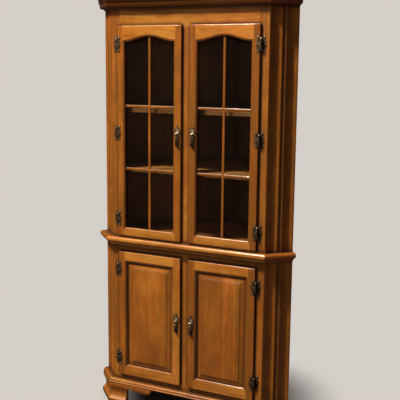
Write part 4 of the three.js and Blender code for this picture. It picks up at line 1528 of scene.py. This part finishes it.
@dataclass
class DropPull:
    """Drop pull: an ornamental plate with ears and a pin, and a pear-shaped drop."""

    workshop: Workshop
    opening: Opening
    height: float = 98 * MM
    width: float = 30 * MM
    thickness: float = 2 * MM
    ease: float = 0.7 * MM
    pivot_rise: float = 14 * MM  # above the plate's middle
    pivot_stand: float = 9 * MM  # before the plate's face
    pin: float = 1.2 * MM
    pin_sides: int = 16
    pin_share: float = 1.25  # how far it goes through an ear
    pin_play: float = 0.3 * MM
    eye: float = 3 * MM
    eye_width: float = 4 * MM
    eye_sides: int = 24
    ear: float = 2.2 * MM
    ear_play: float = 0.4 * MM
    ear_steps: int = 12
    length: float = 55 * MM
    radius: float = 5.6 * MM
    plate_shares: tuple[tuple[float, float], ...] = (
        (0.0, 1.0), (0.22, 0.92), (0.34, 0.82), (0.22, 0.73), (0.5, 0.7), (0.84, 0.6), (0.98, 0.46),
        (0.74, 0.36), (0.9, 0.22), (0.86, 0.08), (0.6, -0.06), (0.42, -0.2), (0.5, -0.34), (0.3, -0.46),
        (0.34, -0.6), (0.5, -0.7), (0.36, -0.82), (0.14, -0.9), (0.0, -1.0),
    )
    plate_steps: int = 4
    raised_shares: tuple[float, float] = (0.76, 0.88)
    boss: tuple[float, float] = (7.2 * MM, 3.2 * MM)  # radius and rise
    boss_shares: tuple[tuple[float, float], ...] = (
        (1.0, 0.0), (0.96, 0.3), (0.8, 0.5), (0.66, 0.45), (0.5, 0.75), (0.28, 1.0), (0.0, 1.0),
    )
    beads: tuple[tuple[float, float], ...] = (  # share of half the height, and radius
        (0.86, 2.3 * MM), (-0.72, 2.1 * MM), (0.44, 1.5 * MM), (-0.33, 1.5 * MM),
    )
    bead_rise: float = 0.75  # of its radius
    bead_sides: int = 20
    drop_shares: tuple[tuple[float, float], ...] = (
        (0.0, 0.97), (0.3, 0.95), (0.36, 0.9), (0.7, 0.87), (1.0, 0.78), (0.94, 0.66), (0.68, 0.5),
        (0.46, 0.34), (0.34, 0.2), (0.34, 0.04),
    )
    drop_steps: int = 5
    rings: tuple[tuple[float, float], ...] = ((0.2, 0.52), (0.24, 0.46), (0.88, 0.62))
    ring_round: float = 0.2  # share of a ring's radius that is rounded
    ring_half: float = 0.7 * MM
    arc_steps: int = 6

    def __post_init__(self) -> None:
        """Takes the pivot from the joint."""
        self.pivot = Vector(self.opening.joint("drop_pivot"))
        self.axis = np.array([self.pivot.y, self.pivot.z])

    def fasten(self, shell: Shell, part: str, word: str, body: str) -> None:
        """Builds one of the two pieces and fixes it.

        Args:
            shell: its surfaces.
            part: end of the name of the node that it replaces.
            word: what its own name adds to that.
            body: end of the name of the body that carries it.
        """
        node = self.opening.name(part)
        piece = shell.build(f"{node}_{word}")
        self.workshop.metal(piece)
        self.workshop.fit(piece, self.opening.name(body), "antique_brass", node)

    def build_plate(self) -> None:
        """Makes the plate with its raised field, boss, beads, ears and pin.

        Formula: beads are quarter arcs turned about their middles, and an ear is a half circle on a root.
        """
        right = np.array(self.plate_shares) * np.array([self.width / 2, self.height / 2])
        left = (right[1:-1] * np.array([-1, 1]))[::-1]
        outline = smooth_curve(np.concatenate([right, left])[::-1], self.plate_steps, closed=True)
        middle = np.array([self.pivot.x, self.pivot.z - self.pivot_rise])
        face = self.pivot.y + self.pivot_stand
        shell = Shell().plate(outline + middle, face + self.thickness, face, self.ease)
        raised = outline * np.array(self.raised_shares) + middle
        shell.plate(raised, face + self.thickness / 2, face - self.ease, self.ease)
        seat = face - self.ease / 2
        boss = np.array(self.boss_shares) * np.array(self.boss) * np.array([1, -1])
        shell.lathe(boss, Vector((self.pivot.x, seat, self.pivot.z)), 1)
        for share, radius in self.beads:
            arc = arc_points(0, math.pi / 2, self.arc_steps) * np.array([radius, -radius * self.bead_rise])
            bead = np.concatenate([[(radius, self.ease)], arc])
            place = Vector((middle[0], seat, middle[1] + share * self.height / 2))
            shell.lathe(bead, place, 1, self.bead_sides)
        arc = arc_points(-math.pi / 2, math.pi / 2, self.ear_steps) * np.array([-self.eye, self.eye])
        root = self.pivot_stand + self.thickness / 2
        tab = np.concatenate([[(root, -self.eye)], arc, [(root, self.eye)]]) + self.axis
        inner = self.eye_width / 2 + self.ear_play
        for way in (-1, 1):
            shell.bar(tab, (self.pivot.x + way * inner, self.pivot.x + way * (inner + self.ear)), 0)
        reach = inner + self.ear * self.pin_share
        pin = circle(self.pin_sides) * self.pin + self.axis
        shell.bar(pin, (self.pivot.x - reach, self.pivot.x + reach), 0)
        self.fasten(shell, "pull_plate", "cast", "door")

    def build_drop(self) -> None:
        """Makes the drop: a turned pear with rings below an eye.

        Formula: a ring's edge is a half ellipse, and the eye is a square section led round a circle.
        """
        pear = smooth_curve(np.array(self.drop_shares), self.drop_steps)
        pear *= np.array([self.radius, -self.length])
        pear = np.concatenate([pear, [(0.0, pear[-1, 1])]])
        pear[:, 0] = np.maximum(pear[:, 0], 0)
        shell = Shell().lathe(pear, self.pivot, 2)
        for share, size in self.rings:
            radius = size * self.radius
            arc = arc_points(-math.pi / 2, math.pi / 2, self.arc_steps)
            edge = arc * np.array([self.ring_round * radius, self.ring_half])
            edge += np.array([(1 - self.ring_round) * radius, -share * self.length])
            ring = np.concatenate([[(0, edge[0, 1])], edge, [(0, edge[-1, 1])]])
            shell.lathe(ring, self.pivot, 2)
        rim = circle(self.eye_sides) * self.eye + self.axis
        hole = circle(self.eye_sides) * (self.pin + self.pin_play) + self.axis
        half = self.eye_width / 2
        loops = ((-half, hole), (-half, rim), (half, rim), (half, hole), (-half, hole))
        eye = np.stack([np.insert(loop, 0, self.pivot.x + x, axis=1) for x, loop in loops])
        shell.loft(eye, caps=False)
        self.fasten(shell, "pull_drop", "turned", "drop")

    def build(self) -> None:
        """Makes both pieces."""
        self.build_plate()
        self.build_drop()


@dataclass(frozen=True)
class Lamp:
    """Square area lamp that points at the cupboard's middle."""

    name: str
    place: tuple[float, float, float]
    size: float
    watts: float
    colour: RGB
    diffuse: bool = True  # whether matt surfaces are lit by it
    glossy: bool = True  # whether it shows in the gloss
    aim: tuple[float, float, float] = (0.0, 0.0, 1.1)

    def hang(self) -> None:
        """Adds the lamp to the scene."""
        data = bpy.data.lights.new(self.name, "AREA")
        data.size = self.size
        data.energy = self.watts
        data.color = self.colour
        lamp = bpy.data.objects.new(self.name, data)
        lamp.location = self.place
        lamp.rotation_mode = "QUATERNION"
        lamp.rotation_quaternion = (Vector(self.aim) - Vector(self.place)).to_track_quat("-Z", "Y")
        lamp.visible_diffuse = self.diffuse
        lamp.visible_glossy = self.glossy
        bpy.context.scene.collection.objects.link(lamp)


@dataclass
class Studio:
    """Pale floor and surroundings, soft lamps and the camera."""

    floor_colour: RGB = (0.58, 0.5, 0.43)
    floor_roughness: float = 0.5
    worn_share: float = 0.93  # how dark the floor's darker patches are
    patches: Layer = Layer(1.2, 3.0)
    patch_range: tuple[float, float] = (0.2, 0.8)
    patch_roughness: float = 0.1
    wall_colour: RGB = (0.66, 0.62, 0.58)
    # painted contact shadow on the floor near and under the cupboard
    hidden_colour: RGB = (0.1, 0.07, 0.05)
    hidden_reach: float = 0.3
    hidden_range: tuple[float, float] = (0.2, 0.8)
    floor_reach: float = 14.0
    fade_start: float = 0.3
    fade_end: float = 0.7
    bounce: float = 0.3  # share of the floor's colour that the cupboard is lit by
    picture: float = 400.0
    focal: float = 788.7  # in pixels of a 400 pixel picture
    sensor: float = 36.0
    azimuth: float = math.radians(26.555)
    pitch: float = math.radians(9.586)
    roll: float = math.radians(0.582)
    distance: float = 3.46713
    target: tuple[float, float, float] = (0.07174, 0.0, 1.02108)
    world_light: float = 0.035
    world_colour: RGB = (1.0, 0.97, 0.93)
    lamps: tuple[Lamp, ...] = (
        Lamp("key", (-2.4, -3.55, 7.5), 0.9, 1010.0, (1.0, 0.97, 0.92)),
        Lamp("fill", (-1.0, -5.6, 2.2), 3.0, 30.0, (1.0, 0.96, 0.92), glossy=False),
        Lamp("skylight", (-0.9, -2.2, 5.6), 2.6, 200.0, (1.0, 0.95, 0.9), diffuse=False),
        Lamp("rear", (2.0, 3.8, 3.4), 2.4, 40.0, (1.0, 0.96, 0.92), glossy=False),
    )

    def camera(self) -> None:
        """Sets the camera at the photograph's place.

        Formula: it looks along (-sin a cos p, cos a cos p, -sin p), rolled about that line.
        """
        a, p, r = self.azimuth, self.pitch, self.roll
        forward = Vector((-math.sin(a) * math.cos(p), math.cos(a) * math.cos(p), -math.sin(p)))
        right = Vector((math.cos(a), math.sin(a), 0))
        up = right.cross(forward)
        right, up = right * math.cos(r) + up * math.sin(r), up * math.cos(r) - right * math.sin(r)
        data = bpy.data.cameras.new("camera")
        data.sensor_width = self.sensor
        data.lens = self.focal * self.sensor / self.picture
        place = Vector(self.target) + Vector((0, FRONT, 0)) - forward * self.distance
        seen = bpy.data.objects.new("camera", data)
        seen.matrix_world = Matrix.Translation(place) @ Matrix((right, up, -forward)).transposed().to_4x4()
        bpy.context.scene.collection.objects.link(seen)
        bpy.context.scene.camera = seen

    def world(self) -> None:
        """Lights softly from all round, and shows the wall's colour to camera and glass."""
        shader = Shader("surroundings", surroundings=True)
        seen = shader.node("ShaderNodeLightPath", {}, {}, "Is Camera Ray")
        shown = seen.larger(seen.beside("Is Transmission Ray"))
        light = {"Color": (*self.world_colour, 1.0), "Strength": self.world_light}
        soft = shader.node("ShaderNodeBackground", {}, light)
        wall = shader.node("ShaderNodeBackground", {}, {"Color": (*self.wall_colour, 1.0)})
        mixed = shader.node("ShaderNodeMixShader", {}, {0: shown, 1: soft, 2: wall})
        bpy.context.scene.world = shader.finish(mixed)

    def floor_finish(self) -> bpy.types.Material:
        """Makes the floor's material.

        Formula: a smooth step on the distance from the middle mixes the floor with the wall's glow; a painted
        contact shadow darkens it near the cupboard.

        Returns:
            The material.
        """
        shader = Shader("floor")
        here = shader.node("ShaderNodeTexCoord", {}, {}, "Object")
        away = shader.node("ShaderNodeVectorMath", {"operation": "LENGTH"}, {0: here}, "Value")
        far = away.between(self.fade_start, self.fade_end)
        tone = shader.noise(here, self.patches)
        worn = tuple(self.worn_share * c for c in self.floor_colour)
        colour = shader.mix(tone.between(*self.patch_range), self.floor_colour, worn)
        # painted contact shadow where the cupboard closes the floor in
        closed = shader.closed(self.hidden_reach).between(*self.hidden_range)
        colour = shader.mix(closed, colour, self.hidden_colour)
        seen = shader.node("ShaderNodeLightPath", {}, {}, "Is Camera Ray")
        colour = shader.mix(seen, tuple(self.bounce * c for c in self.floor_colour), colour)
        rough = self.floor_roughness + tone * self.patch_roughness
        matt = shader.node("ShaderNodeBsdfPrincipled", {}, {"Base Color": colour, "Roughness": rough})
        glow = shader.node("ShaderNodeEmission", {}, {"Color": (*self.wall_colour, 1.0)})
        return shader.finish(shader.node("ShaderNodeMixShader", {}, {0: far * seen, 1: matt, 2: glow}))

    def floor(self) -> None:
        """Lays a level floor that fades into the wall's colour with distance."""
        reach = self.floor_reach
        corners = [(-reach, -reach, 0), (reach, -reach, 0), (reach, reach, 0), (-reach, reach, 0)]
        mesh = bpy.data.meshes.new("floor")
        mesh.from_pydata(corners, [], [(0, 1, 2, 3)])
        floor = bpy.data.objects.new("floor", mesh)
        floor.visible_glossy = False
        bpy.context.scene.collection.objects.link(floor)
        mesh.materials.append(self.floor_finish())

    def build(self) -> None:
        """Sets the camera, the lamps, the world and the floor, and the plain view transform."""
        self.camera()
        for lamp in self.lamps:
            lamp.hang()
        self.world()
        self.floor()
        bpy.context.scene.view_settings.view_transform = "Standard"
        log.info("studio ready")


def crown(shop: Workshop, plan: CasePlan) -> Moulding:
    """Crown: fillet, ovolo, large cove, fillet and a rounded top edge.

    Args:
        shop: the workshop that finishes it.
        plan: outline of the case.

    Returns:
        The moulding, not yet built.
    """
    return Moulding(shop, plan, shop.crown_wood, "crown_moulding", 58 * MM, (0.1, 0.0), (
        (Bend.LINE, 0.1, 0.06), (Bend.LINE, 0.27, 0.07), (Bend.LEVEL, 0.48, 0.3), (Bend.LINE, 0.48, 0.36),
        (Bend.LINE, 0.54, 0.375), (Bend.STEEP, 0.88, 0.79), (Bend.LINE, 0.94, 0.8), (Bend.LINE, 0.94, 0.865),
        (Bend.LEVEL, 1.0, 0.95), (Bend.LINE, 1.0, 1.0),
    ))


def waist(shop: Workshop, plan: CasePlan) -> Moulding:
    """Waist: cove, fillet and a full rounded nose.

    Args:
        shop: the workshop that finishes it.
        plan: outline of the case.

    Returns:
        The moulding, not yet built.
    """
    return Moulding(shop, plan, shop.case_wood, "waist_moulding", 34 * MM, (0.24, 0.0), (
        (Bend.STEEP, 0.6, 0.33), (Bend.LINE, 0.62, 0.34), (Bend.LINE, 0.62, 0.46), (Bend.LINE, 0.84, 0.47),
        (Bend.LEVEL, 1.0, 0.66), (Bend.LINE, 1.0, 0.72), (Bend.STEEP, 0.72, 1.0),
    ))


def base(shop: Workshop, plan: CasePlan) -> Moulding:
    """Base: half-round bead under an ovolo.

    Args:
        shop: the workshop that finishes it.
        plan: outline of the case.

    Returns:
        The moulding, not yet built.
    """
    return Moulding(shop, plan, shop.case_wood, "base_moulding", 27 * MM, (0.88, 0.0), (
        (Bend.LEVEL, 1.0, 0.18), (Bend.STEEP, 0.86, 0.38), (Bend.LINE, 0.84, 0.4), (Bend.LINE, 0.84, 0.6),
        (Bend.STEEP, 0.54, 0.96), (Bend.LINE, 0.5, 1.0),
    ))


def upper_door(shop: Workshop, side: Side) -> DoorFrame:
    """Glazed door with an arched head.

    Args:
        shop: the workshop that finishes it.
        side: which of the two.

    Returns:
        The door frame, not yet built.
    """
    return DoorFrame(
        shop, shop.upper_woods[side], Opening("upper", side), stile=35.5 * MM, rail=39 * MM, joint=6 * MM,
        sticking=((-3 * MM, -5.6 * MM), (-3 * MM, 0.0), (6 * MM, 0.0), (6 * MM, 10 * MM)),
        top_rail=45 * MM, arch=23 * MM, glaze_left=0.5, glaze_thin=0.15,
    )


def lower_door(shop: Workshop, side: Side) -> DoorFrame:
    """Panelled door, grooved for its panel.

    Args:
        shop: the workshop that finishes it.
        side: which of the two.

    Returns:
        The door frame, not yet built.
    """
    sticking = (
        (-4 * MM, -4.2 * MM), (-4 * MM, -3.8 * MM), (8 * MM, -3.8 * MM), (8 * MM, 1 * MM),
        (0.0, 1 * MM), (0.0, 10 * MM),
    )
    return DoorFrame(
        shop, shop.lower_wood, Opening("lower", side), stile=42 * MM, rail=48 * MM, joint=8 * MM,
        sticking=sticking, top_rail=48 * MM, right_lift=0.52 if side is Side.LEFT else 0.0,
    )


def main() -> None:
    """Builds the studio and the cupboard's sub-assemblies in order."""
    logging.basicConfig(level=logging.INFO, format="%(message)s")
    shop = Workshop()
    plan = CasePlan()
    Studio().build()
    Carcass(shop).build()
    for moulding in (crown, waist, base):
        moulding(shop, plan).build()
    for side in Side:
        Pilaster(shop, plan, side).build()
        BracketFoot(shop, plan, side).build()
        glazed = upper_door(shop, side)
        glazed.build()
        GlazingBars(shop, glazed).build()
        panelled = lower_door(shop, side)
        panelled.build()
        RaisedPanel(shop, panelled).build()
        for door, levels in ((glazed, ("top", "middle", "bottom")), (panelled, ("top", "bottom"))):
            DropPull(shop, door.opening).build()
            for level in levels:
                SurfaceHinge(shop, door.opening, level).build()


if __name__ == "__main__":
    main()
